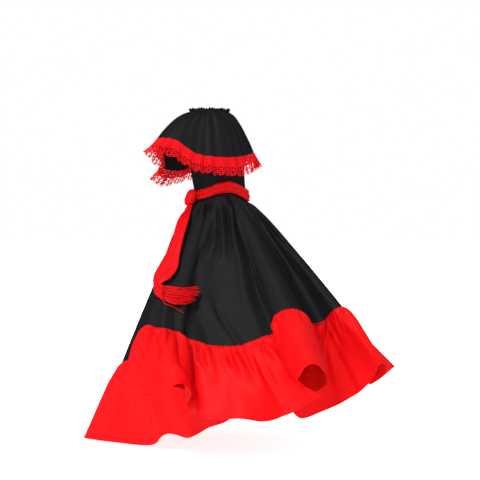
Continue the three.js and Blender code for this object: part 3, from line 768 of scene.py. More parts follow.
FLOUNCE_CREASES = (
    # Short creases below the seam and long ones down the flutes, behind and on the left.
    Crease(((42, 0), (41.5, 0.3), (40.8, 0.75)), 8, 1.0),
    Crease(((42.5, 0), (43, 0.4)), 6, 0.4),
    Crease(((44.6, 0), (43.6, 0.44), (43.4, 0.62)), 8, 0.5),
    Crease(((45.6, 0), (45.8, 0.24), (46.3, 0.6), (48, 0.82), (49.8, 1)), 13, 0.8),
    Crease(((47.6, 0), (47.9, 0.2)), 4, 0.4),
    Crease(((51.7, 0), (52, 0.26), (53.2, 0.45)), 9, 0.5),
    Crease(((53.5, 0), (54, 0.2)), 4, 0.35),
    Crease(((55, 0), (55.1, 0.22)), 5, 0.4),
    Crease(((55.9, 0), (56.5, 0.22), (57.2, 0.42)), 9, 0.5),
    Crease(((57.4, 0), (58.5, 0.18), (59, 0.36), (59.6, 0.62)), 9, 0.55),
    Crease(((58.9, 0), (59.2, 0.24)), 5, 0.4),
    Crease(((59.4, 0), (60.5, 0.42), (62, 0.88)), 7, 0.35),
    Crease(((61.4, 0), (63, 0.28), (64.6, 0.6)), 8, 0.6),
    Crease(((65.2, 0), (66, 0.3)), 5, 0.4),
    Crease(((68.6, 0), (68.5, 0.32), (68, 0.55)), 6, 0.8),
    Crease(((69.6, 0), (69.5, 0.2)), 5, 0.4),
    Crease(((71, 0), (70.6, 0.3)), 7, 0.5),
    Crease(((72.6, 0), (72, 0.3)), 6, 0.6),
    Crease(((76.9, 0), (77.3, 0.46)), 5, 0.8),
    Crease(((86, 0), (87, 0.5), (88, 0.9)), 8, 0.9),
    Crease(((88.4, 0), (90, 0.3)), 5, 0.5),
    Crease(((91.9, 0), (94.5, 0.38), (95.5, 0.84), (95.6, 1)), 11, 0.8),
    Crease(((94.3, 0), (96.5, 0.38), (96.8, 0.6)), 8, 0.6),
    Crease(((100, 0), (100.6, 0.34)), 6, 0.6),
    Crease(((55.7, 0.18), (55.4, 0.54), (55, 0.92)), 5, 1.6),
    Crease(((58.2, 0.42), (58, 0.8)), 4, 1.3),
    Crease(((6, 0.38), (6.3, 0.68)), 7, 0.7),
    Crease(((5.6, 0.55), (5, 0.9)), 4, 0.8),
    Crease(((11.2, 0.36), (11, 0.84)), 7, 0.7),
    Crease(((14.2, 0.42), (13.8, 0.88)), 7, 0.6),
    Crease(((20, 0.3), (18.4, 0.66), (17.2, 0.94)), 11, 0.9),
    Crease(((24, 0), (24.6, 0.5)), 6, 0.8),
    Crease(((30, 0), (29.6, 0.44)), 6, 0.7),
    Crease(((36, 0), (35.4, 0.6)), 6, 0.7),
    # The right side and the front.
    Crease(((105.4, 0), (106, 0.5)), 8.4, 0.7),
    Crease(((110.8, 0), (111.7, 0.7)), 8.4, 0.8),
    Crease(((116.3, 0), (116.8, 0.4)), 7, 0.6),
    Crease(((122.2, 0), (123.1, 0.86)), 9.8, 0.9),
    Crease(((128.1, 0), (128.5, 0.46)), 7, 0.6),
    Crease(((133.5, 0), (134.6, 0.6)), 8.4, 0.8),
    Crease(((138.9, 0), (139.3, 0.38)), 7, 0.6),
    Crease(((144.8, 0), (145.2, 0.8)), 9.8, 0.9),
    Crease(((150.2, 0), (151.3, 0.5)), 7, 0.7),
    Crease(((156.1, 0), (156.6, 0.36)), 7, 0.6),
    Crease(((161.5, 0), (161.9, 0.7)), 8.4, 0.8),
    Crease(((167.4, 0), (168.2, 0.46)), 7, 0.7),
    Crease(((172.8, 0), (173.3, 0.84)), 9.8, 0.9),
    Crease(((178.2, 0), (178.8, 0.4)), 7, 0.6),
    Crease(((184.1, 0), (184.5, 0.62)), 8.4, 0.8),
    Crease(((189.5, 0), (190, 0.44)), 7, 0.6),
    Crease(((2, 0), (2.6, 0.5)), 7, 0.7),
)


@dataclass
class SwirlForm(RingForm):
    """The form of the swinging skirt, the upper cloth, and its flounce, the lower one."""

    columns: int = 192
    bend_out: float = 0.31
    bend_down: float = 0.2
    side_seam: float = 0.003

    def __post_init__(self) -> None:
        """Draws the rings and cuts them into even columns."""
        self.draw_rings(
            [waist_place(fold.waist) for fold in FOLDS],
            [fall_place(*fold.seam) for fold in FOLDS],
            [fall_place(*fold.hem) for fold in FOLDS],
        )
        self.places = even_places([self.seam, self.edge])

    def column_at(self, bearing: float) -> float:
        """Finds the column whose fold leaves the waist nearest to a bearing."""
        points = self.on_ring(self.top, np.arange(self.columns, dtype=float))
        found = np.degrees(np.arctan2(points[:, 0], WAIST.centre_y - points[:, 1]))
        return float(np.argmin(np.abs((found - bearing + 540) % 360 - 180)))


@dataclass
class Skirt:
    """The black skirt: two flared panels gathered into the waist."""

    form: SwirlForm
    thickness: float = 0.8
    rows: int = 60
    per_column: int = 4
    broad_waves: int = 24
    wave_height: tuple[tuple[float, float], ...] = (
        (0, 0.6), (0.13, 2.6), (0.36, 2.2), (0.66, 1), (1, 0),
    )  # fmt: skip
    fine: Gathers = Gathers(90, (0.8, 2.4), 0.42, (0.1, 0.34), 0.8, 11)

    def height(self, columns: np.ndarray, shares: np.ndarray) -> np.ndarray:
        """Finds how far the skirt's waves, gathers and creases stand off its smooth form."""
        turn = 2 * math.pi * columns / self.form.columns
        uneven = 0.7 * np.sin(5 * turn + 1) + 0.5 * np.sin(9 * turn + 2)
        waves = np.cos(self.broad_waves * turn + uneven) * table_value(self.wave_height, shares)
        gathers = self.fine.height(columns, shares, self.form.columns)
        creases = crease_height(SKIRT_CREASES, columns, shares, self.form.columns)
        return waves + (gathers + creases) * np.clip(shares / 0.03, 0.15, 1)

    def surface(self, columns: np.ndarray, shares: np.ndarray) -> np.ndarray:
        """Finds the skirt's outer face."""
        normal = normals_of(self.form.upper_line, columns, shares)
        return self.form.upper_line(columns, shares) + normal * self.height(columns, shares)[..., None]

    def build(self, cloth: bpy.types.Material) -> None:
        """Builds both panels, which meet at the dress's two sides."""
        form = self.form
        left, right = form.column_at(90), form.column_at(270)
        shares = (np.linspace(0, 1, self.rows) ** 1.15)[None, :]
        for side, start, end in (("back", left, right), ("front", right, left + form.columns)):
            columns = fine_columns(start, end, self.per_column, form.side_seam)
            name = "skirt_" + side + "_panel"
            panel = cloth_sheet(name, self.surface(columns, shares), self.thickness)
            dress_piece(panel, cloth, ["skirt_" + side])


@dataclass
class HemFlounce:
    """The red hem flounce: four straight strips gathered on to the skirt."""

    form: SwirlForm
    skirt: Skirt
    thickness: float = 0.8
    rows_above_hem: int = 33
    # The rows of the turned-up hem, close together at its stitches.
    hem_rows: tuple[float, ...] = (0.94, 0.949, 0.955, 0.961, 0.97, 0.985, 1)
    stitch_share: float = 0.955
    stitch_depth: float = 0.9
    per_column: int = 6
    strips: tuple[str, ...] = ("left_front", "left_back", "right_back", "right_front")
    puff: tuple[tuple[float, float], ...] = (
        (0, 1.8), (0.04, 7), (0.09, 9), (0.3, 11), (0.64, 5), (1, 0),
    )  # fmt: skip
    broad_waves: int = 32
    broad: tuple[tuple[float, float], ...] = ((0, 0), (0.09, 1), (0.3, 2.5), (0.64, 4), (1, 5))
    gathers: Gathers = Gathers(112, (2.5, 9), 0.4, (0.1, 0.55), 1.0, 5)
    hem_ruffles: Gathers = Gathers(46, (-4, 5), 1.6, (0.25, 0.6), 1.5, 8, True)
    # Its own creases start below the skirt's edge and are whole a little further down.
    creases_start: float = 0.025
    creases_grow: float = 0.045
    # It lies on the skirt's creases at the seam and leaves them by about this share.
    leaves_skirt: float = 0.1
    normals_turned: float = 0.06
    # The heading stands up over the seam, most of it within this share.
    heading: float = 6.0
    heading_share: float = 0.05
    # How far the hem rises, and how far it is folded over towards the back, by column.
    hem_lift: tuple[tuple[float, float], ...] = (
        (36.5, 0), (38.5, -5), (40.5, -13), (42.5, -12), (43.8, 0), (45.2, 9), (47, 3), (49, 0),
    )  # fmt: skip
    hem_lip: tuple[tuple[float, float], ...] = (
        (61.8, 0), (63.4, 26), (65, 60), (66.4, 40), (68.4, 0),
    )  # fmt: skip
    lip_start: float = 0.66
    lip_way: tuple[float, float, float] = (-0.6, 0.8, 0)

    def turn(self, columns: np.ndarray) -> np.ndarray:
        """Finds the angles that the flounce's waves are worked out from."""
        return 2 * math.pi * (columns + 1) / self.form.columns

    def height(self, columns: np.ndarray, shares: np.ndarray) -> np.ndarray:
        """Finds how far its waves, gathers, creases and stitches stand off its smooth form."""
        total, turn = self.form.columns, self.turn(columns)
        uneven = 0.8 * np.sin(7 * turn + 1.5) + 0.5 * np.sin(11 * turn)
        waves = np.cos(self.broad_waves * turn + uneven) * table_value(self.broad, shares)
        creases = self.gathers.height(columns, shares, total)
        creases = creases + crease_height(FLOUNCE_CREASES, columns, shares, total)
        creases = creases * np.clip((shares - self.creases_start) / self.creases_grow, 0, 1)
        ruffles = self.hem_ruffles.height(columns, shares, total)
        stitches = -self.stitch_depth * np.exp(-(((shares - self.stitch_share) / 0.006) ** 2))
        sewn = self.skirt.height(columns, FOOT) * np.exp(-((shares / self.leaves_skirt) ** 2))
        return table_value(self.puff, shares) + waves + creases + ruffles + stitches + sewn

    def heading_rise(self, columns: np.ndarray, shares: np.ndarray) -> np.ndarray:
        """Finds how far the heading is moved up the skirt, in small uneven puffs."""
        turn = self.turn(columns)
        puffs = 0.3 + 0.7 * np.abs(np.cos(77 * turn + 1.26 * np.sin(58 * turn))) ** 0.6
        rise = self.heading * puffs * np.exp(-((shares / self.heading_share) ** 2))
        skirt = self.form.upper_line
        return unit(skirt(columns, 0.95 * FOOT) - skirt(columns, FOOT)) * rise[..., None]

    def hem_move(self, columns: np.ndarray, shares: np.ndarray) -> np.ndarray:
        """Finds how far the hem's dips and its folded lip are moved."""
        lift = table_value(self.hem_lift, columns) * shares**3
        down = np.clip((shares - self.lip_start) / (1 - self.lip_start), 0, 1)
        lip = table_value(self.hem_lip, columns) * down**1.6
        return lip[..., None] * np.array(self.lip_way) + lift[..., None] * [0, 0, 1]

    def surface(self, columns: np.ndarray, shares: np.ndarray) -> np.ndarray:
        """Finds the flounce's outer face."""
        normal = self.form.lower_normal(columns, shares, self.normals_turned)
        face = self.form.lower_line(columns, shares) + normal * self.height(columns, shares)[..., None]
        return face + self.heading_rise(columns, shares) + self.hem_move(columns, shares)

    def build(self, cloth: bpy.types.Material) -> None:
        """Builds the four strips."""
        upper = np.linspace(0, 0.93, self.rows_above_hem) ** 1.2
        shares = np.concatenate([upper, self.hem_rows])[None, :]
        length = self.form.columns // len(self.strips)
        for i, side in enumerate(self.strips):
            start, end = i * length, (i + 1) * length
            columns = fine_columns(start, end, self.per_column, self.form.side_seam)
            strip = cloth_sheet("flounce_" + side, self.surface(columns, shares), self.thickness)
            dress_piece(strip, cloth, ["hem_flounce_" + side])


# The bodice, the shoulder flounce and its lace.


class BodyLevel(NamedTuple):
    """A level of the bodice: its drop below the neckline, its oval and half a panel's angle."""

    drop: float
    oval: Oval
    cover: float


BODY_LEVELS = (
    BodyLevel(0.8, Oval(63.9, 55.9, 2), 40),
    BodyLevel(30, Oval(75, 61, 6), 46),
    BodyLevel(70, Oval(92, 71, 12), 53),
    BodyLevel(110, Oval(101, 78, 20), 66),
    BodyLevel(132, Oval(103, 79, 25), 88),
    BodyLevel(190, Oval(92, 73, 36), 90),
    BodyLevel(232, Oval(88, 73, 43), 90),
)


@dataclass
class Bodice:
    """The black bodice: a front and a back panel with armholes at their sides."""

    thickness: float = 0.8
    columns: int = 96
    rows_between: int = 8
    # Small pulls in the cloth towards the sash, and its broad slack waves.
    pull_height: float = 1.1
    slack_height: float = 1.2

    def panel(self, middle: float) -> np.ndarray:
        """Finds the points of the panel round a middle bearing."""
        across = np.linspace(-0.998, 0.998, self.columns + 1)[:, None]
        lasts = len(BODY_LEVELS)
        steps = np.linspace(0, lasts, lasts * self.rows_between + 1)[None, :]
        at = np.arange(lasts)
        ovals = np.array([level.oval for level in BODY_LEVELS])
        width, depth, centre = (np.interp(steps, at, ovals[:, k]) for k in range(3))
        cover = np.interp(steps, at, [level.cover for level in BODY_LEVELS])
        drop = np.interp(steps, at, [level.drop for level in BODY_LEVELS])
        bearing = middle + across * cover
        turn = np.radians(bearing)
        low = np.clip((steps - 2) / 3, 0, 1)
        pulls = np.cos(14 * turn) + 0.5 * np.sin(23 * turn + 1) + 0.4 * np.sin(37 * turn)
        slack = self.slack_height * np.sin(5 * turn + drop / 22) * np.clip(steps - 2, 0, 1)
        grow = low * (self.pull_height * pulls * np.clip(lasts - steps, 0, 1) + slack)
        body = Oval(width, depth, centre).at(bearing, -drop, grow)
        waist = waist_place(bearing) + [0, 0, SEAM_GAP]
        down = np.clip(steps - (lasts - 1), 0, 1)[..., None]
        return body * (1 - down) + waist * down

    def build(self, cloth: bpy.types.Material) -> None:
        """Builds both panels."""
        for side, middle in (("front", 0), ("back", 180)):
            panel = cloth_sheet("bodice_" + side + "_panel", self.panel(middle), self.thickness)
            dress_piece(panel, cloth, ["bodice_" + side])


class ShoulderFold(NamedTuple):
    """A fold of the shoulder flounce: its bearing, and the black edge and the lace edge."""

    bearing: float
    edge: tuple[float, float]
    lace: tuple[float, float]


SHOULDER_FOLDS = (
    ShoulderFold(0, (150, 178), (184, 220)),
    ShoulderFold(22, (150, 172), (190, 202)),
    ShoulderFold(36, (138, 150), (152, 182)),
    ShoulderFold(47, (148, 118), (172, 152)),
    ShoulderFold(60, (172, 90), (208, 124)),
    ShoulderFold(78, (182, 87), (204, 132)),
    ShoulderFold(97, (185, 97), (203, 142)),
    ShoulderFold(114, (160, 135), (174, 182)),
    ShoulderFold(133, (147, 144), (164, 192)),
    ShoulderFold(152, (140, 146), (157, 196)),
    ShoulderFold(180, (131, 140), (148, 190)),
    ShoulderFold(204, (132, 132), (149, 174)),
    ShoulderFold(220, (134, 126), (150, 166)),
    ShoulderFold(246, (156, 118), (172, 162)),
    ShoulderFold(264, (184, 98), (205, 143)),
    ShoulderFold(283, (181, 90), (212, 130)),
    ShoulderFold(301, (168, 98), (196, 138)),
    ShoulderFold(315, (148, 128), (170, 164)),
    ShoulderFold(327, (140, 156), (158, 194)),
    ShoulderFold(341, (151, 174), (186, 210)),
)

SHOULDER_CREASES = (
    Crease(((38, 0.04), (37, 0.5), (37.5, 0.86)), 3, 1.1),
    Crease(((43, 0.04), (43, 0.36), (44, 0.6)), 2.4, 0.9),
    Crease(((49, 0.04), (50, 0.5), (50, 1)), 3, 1.3),
    Crease(((56, 0.04), (56, 0.44)), 2.4, 0.9),
    Crease(((63, 0.04), (62, 0.5), (62, 0.9)), 2.7, 1.2),
    Crease(((70, 0.04), (70.5, 0.4)), 2.4, 0.9),
    Crease(((77, 0.04), (77, 0.6), (76, 0.94)), 2.7, 1.2),
    Crease(((84, 0.04), (83, 0.5)), 2.4, 1.0),
    Crease(((91, 0.04), (91, 0.7)), 2.7, 1.2),
    Crease(((99, 0.04), (100, 0.5), (100, 0.9)), 3, 1.1),
    Crease(((107, 0.04), (107, 0.46)), 2.4, 1.0),
    Crease(((114, 0.04), (115, 0.7)), 2.7, 1.2),
    Crease(((2, 0.04), (2, 0.56)), 2.7, 1.1),
    Crease(((10, 0.04), (10, 0.8)), 3, 1.2),
    Crease(((18, 0.04), (17, 0.5)), 2.4, 1.0),
    Crease(((26, 0.04), (26, 0.76)), 3, 1.2),
    Crease(((32, 0.04), (31.5, 0.4)), 2.4, 0.9),
)


NECK = Oval(66, 58, 2)
NECK_SEAM = -1.0


@dataclass
class ShoulderForm(RingForm):
    """The form of the shoulder flounce, the upper cloth, and its lace, the lower one."""

    columns: int = 120
    bend_out: float = 0.53
    bend_down: float = 0.18
    side_seam: float = 0.01
    waves: int = 30

    def __post_init__(self) -> None:
        """Draws the rings and cuts them into even columns."""
        self.draw_rings(
            [NECK.at(fold.bearing, NECK_SEAM) for fold in SHOULDER_FOLDS],
            [turned(fold.bearing, fold.edge[0], -fold.edge[1], 0) for fold in SHOULDER_FOLDS],
            [turned(fold.bearing, fold.lace[0], -fold.lace[1], 0) for fold in SHOULDER_FOLDS],
        )
        self.places = even_places([self.seam])

    def wave(self, columns: np.ndarray) -> np.ndarray:
        """Finds the waves that run from the gathers at the neck into the lace, unevenly."""
        turn = 2 * math.pi * columns / self.columns
        uneven = 0.7 * np.sin(7 * turn + 2) + 0.4 * np.sin(11 * turn)
        size = 1 + 0.35 * np.sin(8 * turn + 1) + 0.3 * np.sin(13 * turn)
        return size * np.cos(self.waves * turn + uneven)

    def halves(self) -> tuple[tuple[str, float, float], ...]:
        """Names the two halves with their first and last columns."""
        quarter = self.columns / 4
        return (("back", quarter, 3 * quarter), ("front", 3 * quarter, 5 * quarter))


@dataclass
class ShoulderFlounce:
    """The black flounce that is gathered into the neckline and hangs off the shoulders."""

    form: ShoulderForm
    thickness: float = 0.8
    rows: int = 34
    per_column: int = 5
    wave_height: tuple[tuple[float, float], ...] = ((0, 0.3), (0.12, 1.3), (0.5, 0.6), (1, 1.2))
    gathers: Gathers = Gathers(76, (1, 3.4), 0.34, (0.08, 0.26), 0.6, 21)

    def surface(self, columns: np.ndarray, shares: np.ndarray) -> np.ndarray:
        """Finds the flounce's outer face with its gathers and soft folds."""
        form = self.form
        creases = self.gathers.height(columns, shares, form.columns)
        creases = creases + crease_height(SHOULDER_CREASES, columns, shares, form.columns)
        height = form.wave(columns) * table_value(self.wave_height, shares)
        height = height + np.clip(shares / 0.03, 0.1, 1) * creases
        normal = normals_of(form.upper_line, columns, shares)
        return form.upper_line(columns, shares) + normal * height[..., None]

    def build(self, cloth: bpy.types.Material) -> None:
        """Builds both halves."""
        shares = (np.linspace(0, 1, self.rows) ** 1.2)[None, :]
        for side, start, end in self.form.halves():
            columns = fine_columns(start, end, self.per_column, self.form.side_seam)
            half = cloth_sheet("shoulder_" + side, self.surface(columns, shares), self.thickness)
            dress_piece(half, cloth, ["shoulder_flounce_" + side])


@dataclass
class LaceEdging:
    """The red lace: net above and a row of open flowers over a scalloped edge."""

    form: ShoulderForm
    thickness: float = 0.8
    cells_per_column: float = 1.5
    side_seam: float = 0.02
    scallop: float = 6.0
    scallop_columns: int = 2
    flutter: float = 0.22
    normals_turned: float = 0.2
    wave_height: tuple[tuple[float, float], ...] = (
        (0, 1.6), (0.2, 3), (0.5, 4.6), (0.76, 6), (1, 8),
    )  # fmt: skip
    puckers: Gathers = Gathers(84, (0.8, 3), 0.36, (0.3, 0.75), 0.5, 31)
    # The open share of each cell. A row goes round through one scallop, and rows go down.
    holes: tuple[tuple[float, ...], ...] = (
        (0, 0, 0),
        (0, 0.26, 0),
        (0.28, 0, 0.28),
        (0, 0.34, 0),
        (0.3, 0, 0.3),
        (0.56, 0.84, 0.56),
        (0.88, 0.5, 0.88),
        (0.6, 0.9, 0.6),
        (0.74, 0.62, 0.74),
    )
    # A cell's rim in half cells, round from its upper left corner, and how far in an open cell
    # its corners are drawn towards the middle, so that the hole is round.
    rim: tuple[tuple[int, int], ...] = (
        (0, 0), (0, 1), (0, 2), (1, 2), (2, 2), (2, 1), (2, 0), (1, 0),
    )  # fmt: skip
    corner_reach: float = 0.76

    def surface(self, columns: np.ndarray, shares: np.ndarray) -> np.ndarray:
        """Finds the lace's outer face with its ruffles and scallops."""
        form = self.form
        turn = 2 * math.pi * columns / form.columns
        flutter = self.flutter * np.cos(62 * turn + 1.3 + 0.9 * np.sin(5 * turn)) * (0.5 + shares)
        height = (form.wave(columns) + flutter) * table_value(self.wave_height, shares)
        puckers = self.puckers.height(columns, shares, form.columns)
        height = height + puckers * np.clip(shares / 0.15, 0, 1)
        normal = form.lower_normal(columns, shares, self.normals_turned)
        down = unit(form.lower_line(columns, FOOT) - form.lower_line(columns, 0 * FOOT))
        scallops = np.abs(np.sin(math.pi * columns / self.scallop_columns)) ** 0.8
        drop = self.scallop * scallops * shares**3
        return form.lower_line(columns, shares) + normal * height[..., None] + down * drop[..., None]

    def half(self, name: str, start: float, end: float) -> bpy.types.Object:
        """Makes the openwork of one half.

        Args:
            name: The piece's name.
            start: Its first column.
            end: Its last column.

        Returns:
            The piece, with its thickness.
        """
        table = np.array(self.holes)
        rows, across = len(table), round((end - start) * self.cells_per_column)
        columns = fine_columns(start, end, 2 * self.cells_per_column, self.side_seam)
        grid = self.surface(columns, np.linspace(0, 1, 2 * rows + 1)[None, :])
        flat = flat_lengths(grid)
        number = np.arange(grid.shape[0] * grid.shape[1]).reshape(grid.shape[:2])
        i, j = (2 * n for n in np.meshgrid(np.arange(across), np.arange(rows), indexing="ij"))
        points, uvs, faces = [grid.reshape(-1, 3)], [flat.reshape(-1, 2)], []
        share = table[j // 2, (i // 2) % table.shape[1]]
        whole = share == 0
        for a, b in ((0, 0), (0, 1), (1, 0), (1, 1)):
            p, q = i[whole] + a, j[whole] + b
            quad = [number[p, q], number[p, q + 1], number[p + 1, q + 1], number[p + 1, q]]
            faces.append(np.stack(quad, -1))
        i, j, share = i[~whole], j[~whole], share[~whole]
        hole = np.arange(len(i))
        for k, (a, b) in enumerate(self.rim):
            beyond = (k + 1) % len(self.rim)
            c, d = self.rim[beyond]
            reach = (share * (self.corner_reach if k % 2 == 0 else 1.0))[:, None]
            for made, source in ((points, grid), (uvs, flat)):
                middle = source[i + 1, j + 1]
                made.append(middle + (source[i + a, j + b] - middle) * reach)
            inner = [number.size + n * len(i) + hole for n in (beyond, k)]
            faces.append(np.stack([number[i + a, j + b], number[i + c, j + d], *inner], -1))
        piece = new_piece(name, np.concatenate(points), np.concatenate(faces).tolist())
        set_uv(piece, np.concatenate(uvs))
        thicken(piece, self.thickness)
        bpy.ops.object.shade_smooth_by_angle(angle=math.radians(40))
        return piece

    def build(self, lace: bpy.types.Material) -> None:
        """Builds both halves."""
        for side, start, end in self.form.halves():
            piece = self.half("lace_edging_" + side, start, end)
            dress_piece(piece, lace, ["lace_" + side])


@dataclass
class NeckRuffle:
    """The elastic casing at the neck and the small gathered edge above it."""

    height: float = 11.5
    foot: float = -3.0
    columns: int = 720
    rows: int = 12
    thickness: float = 0.8
    # How far the casing lies in from the neck's oval, and how far the edge leans out above it.
    seat: float = 1.2
    lean: float = 2.0
    folds: int = 52
    fold_depth: float = 2.6
    # How far the edge's peaks stand up between its folds.
    peak: float = 3.6

    def build(self, cloth: bpy.types.Material) -> None:
        """Builds the ruffle as one closed strip."""
        column = np.arange(self.columns)[:, None] / self.columns
        up = np.linspace(1, 0, self.rows)[None, :]
        turn = 2 * math.pi * column
        folds = np.cos(self.folds * turn + 1.4 * np.sin(9 * turn)) * (1 + 0.3 * np.sin(17 * turn))
        grow = self.lean * up - self.seat + self.fold_depth * up * folds
        peaks = 1 - np.abs(np.sin(self.folds / 2 * turn + 1.1 * np.sin(7 * turn))) ** 0.7
        ragged = up**2 * (self.peak * peaks - 2.4 + 1.4 * np.sin(11 * turn))
        z = self.foot + self.height * up + ragged
        grid = NECK.at(360 * column, z, grow)
        strip = cloth_sheet("neck_ruffle", grid, self.thickness, closed=True)
        dress_piece(strip, cloth, ["neck_frill"])


# The sash.

SASH_LEVEL = -254
KNOT_BEARING = 68.0


@dataclass
class SashBand:
    """The sash round the waist, widest behind, with long slanting folds."""

    gap: float = 3.2
    flare: float = 3.0
    thickness: float = 3.0
    shell: float = 2.0
    highest: float = 35.0
    lowest: float = 22.0
    knot_half_angle: float = 9.6
    # The share of its length that is pinched beside the knot, and the small folds there.
    pinched: float = 0.06
    pinch_folds: int = 4
    pinch_depth: float = 1.4
    # How much its middle stands out over its two rolled edges.
    edge_roll: float = 3.2
    # Sets of folds: how many across, their slant, their depth and how sharp they are.
    folds: tuple[tuple[float, float, float, float], ...] = (
        (2, 1.0, 3.0, 0.6), (3, -0.7, 1.5, 0.5), (5, 1.8, 0.7, 0.7),
    )  # fmt: skip
    columns: int = 260
    rows: int = 30

    def build(self, cloth: bpy.types.Material) -> None:
        """Builds the band as an open strip whose two ends go into the knot."""
        column = np.linspace(0, 1, self.columns)[:, None]
        share = np.linspace(0, 1, self.rows)[None, :]
        span = 360 - 2 * self.knot_half_angle
        bearing = KNOT_BEARING + self.knot_half_angle + span * column
        widest = 0.5 + 0.5 * np.cos(np.radians(bearing - 180))
        height = self.lowest + (self.highest - self.lowest) * widest
        folds = 0.0
        for count, slant, depth, sharp in self.folds:
            ridge = np.abs(np.cos(math.pi * (count * share + slant * 1.5 * bearing / 360))) ** sharp
            folds = folds + depth * (ridge - 0.5)
        near_knot = np.clip(1 - np.minimum(column, 1 - column) / self.pinched, 0, 1)
        pinch = near_knot * self.pinch_depth * np.cos(2 * math.pi * self.pinch_folds * share)
        round_edge = self.edge_roll * (np.sin(math.pi * np.clip(share, 0.001, 0.999)) ** 0.45 - 0.65)
        grow = self.gap + self.flare * share + self.thickness + round_edge + folds + pinch
        z = SASH_LEVEL + waist_lift(bearing) + height * (0.5 - share)
        z = z + 1.2 * np.sin(np.radians(3 * bearing)) * (1 - np.abs(2 * share - 1))
        band = cloth_sheet("sash", WAIST.at(bearing, z, grow), self.shell)
        dress_piece(band, cloth, ["sash_band"])


@dataclass
class SashKnot:
    """The knot: a squarish lump with a band wrapped over its folds."""

    drop: float = 8.0
    out: float = 20.0
    lean: float = 22.0
    half_width: float = 19.5
    half_height: float = 25.0
    half_depth: float = 12.5
    # The band is wrapped on a slant, this many radians from level, and covers this half width.
    slant: float = 0.6
    wrap_half: float = 0.42

    def grown(self, way: np.ndarray) -> np.ndarray:
        """Finds how far the folds and the band stand out, from the directions of a ball."""
        x, z = way[:, 0], way[:, 2]
        along = x * math.cos(self.slant) + z * math.sin(self.slant)
        across = z * math.cos(self.slant) - x * math.sin(self.slant)
        wrap = 1 / (1 + np.exp((np.abs(along) - self.wrap_half) * 26))
        wrap_folds = np.abs(np.cos(9 * along + 2 * across + np.sin(3 * across))) ** 0.6
        bent = 3 * np.abs(along) + 0.6 * np.sin(5 * along)
        side_folds = np.abs(np.cos(7.5 * across + bent)) ** 0.6
        return 0.9 + wrap * (0.1 + 0.1 * wrap_folds) + (1 - wrap) * 0.2 * side_folds

    def build(self, cloth: bpy.types.Material) -> None:
        """Shapes the lump from a ball and turns it into place."""
        bpy.ops.object.select_all(action="DESELECT")
        bpy.ops.mesh.primitive_uv_sphere_add(segments=96, ring_count=64, radius=1)
        piece = bpy.context.active_object
        piece.name = "knot"
        mesh = piece.data
        way = np.empty(len(mesh.vertices) * 3)
        mesh.vertices.foreach_get("co", way)
        way = way.reshape(-1, 3)
        squared = (way**4).sum(1, keepdims=True) ** -0.25
        way = way * (0.55 + 0.45 * squared)
        way = way * self.grown(way)[:, None] * [self.half_width, self.half_depth, self.half_height]
        lean, spin = math.radians(-self.lean), math.radians(KNOT_BEARING)
        turn = np.array(Matrix.Rotation(spin, 3, "Z") @ Matrix.Rotation(lean, 3, "X"))
        level = SASH_LEVEL + waist_lift(KNOT_BEARING) - self.drop
        placed = way @ turn.T + WAIST.at(KNOT_BEARING, level, self.out)
        mesh.vertices.foreach_set("co", (placed * MM).ravel())
        mesh.update()
        bpy.ops.object.shade_smooth()
        dress_piece(piece, cloth, ["sash_knot"])


class EndRow(NamedTuple):
    """A place down a sash end: its two edges as bearing, reach and drop."""

    left: tuple[float, float, float]
    right: tuple[float, float, float]


NEAR_END = (
    EndRow((70.5, 115, 25.1), (83, 122, 23)),
    EndRow((83, 178, 65), (97, 184, 65)),
    EndRow((89, 224, 115), (100, 231, 115)),
    EndRow((90, 260, 163), (102, 272, 166)),
    EndRow((90, 292, 199), (103.5, 302, 205)),
    EndRow((91, 322, 229), (102, 331, 233)),
    EndRow((93.5, 341, 257), (99, 343, 246)),
    EndRow((97, 362, 278), (98.8, 346, 251)),
    EndRow((102, 379, 292), (100.4, 350, 254)),
)
FAR_END = (
    EndRow((57, 107, 24.4), (69.5, 112, 24.6)),
    EndRow((37, 114, 52), (50, 114, 50)),
    EndRow((21, 136, 95), (33, 138, 95)),
    EndRow((16, 156, 137), (27.5, 161, 138)),
    EndRow((12, 174, 183), (23, 181, 185)),
    EndRow((10, 197, 238), (21, 204, 239)),
)


def outward(places: np.ndarray) -> np.ndarray:
    """Finds the level directions from the waist's axis to places."""
    return unit(places * [1, 1, 0] - [0, WAIST.centre_y, 0])


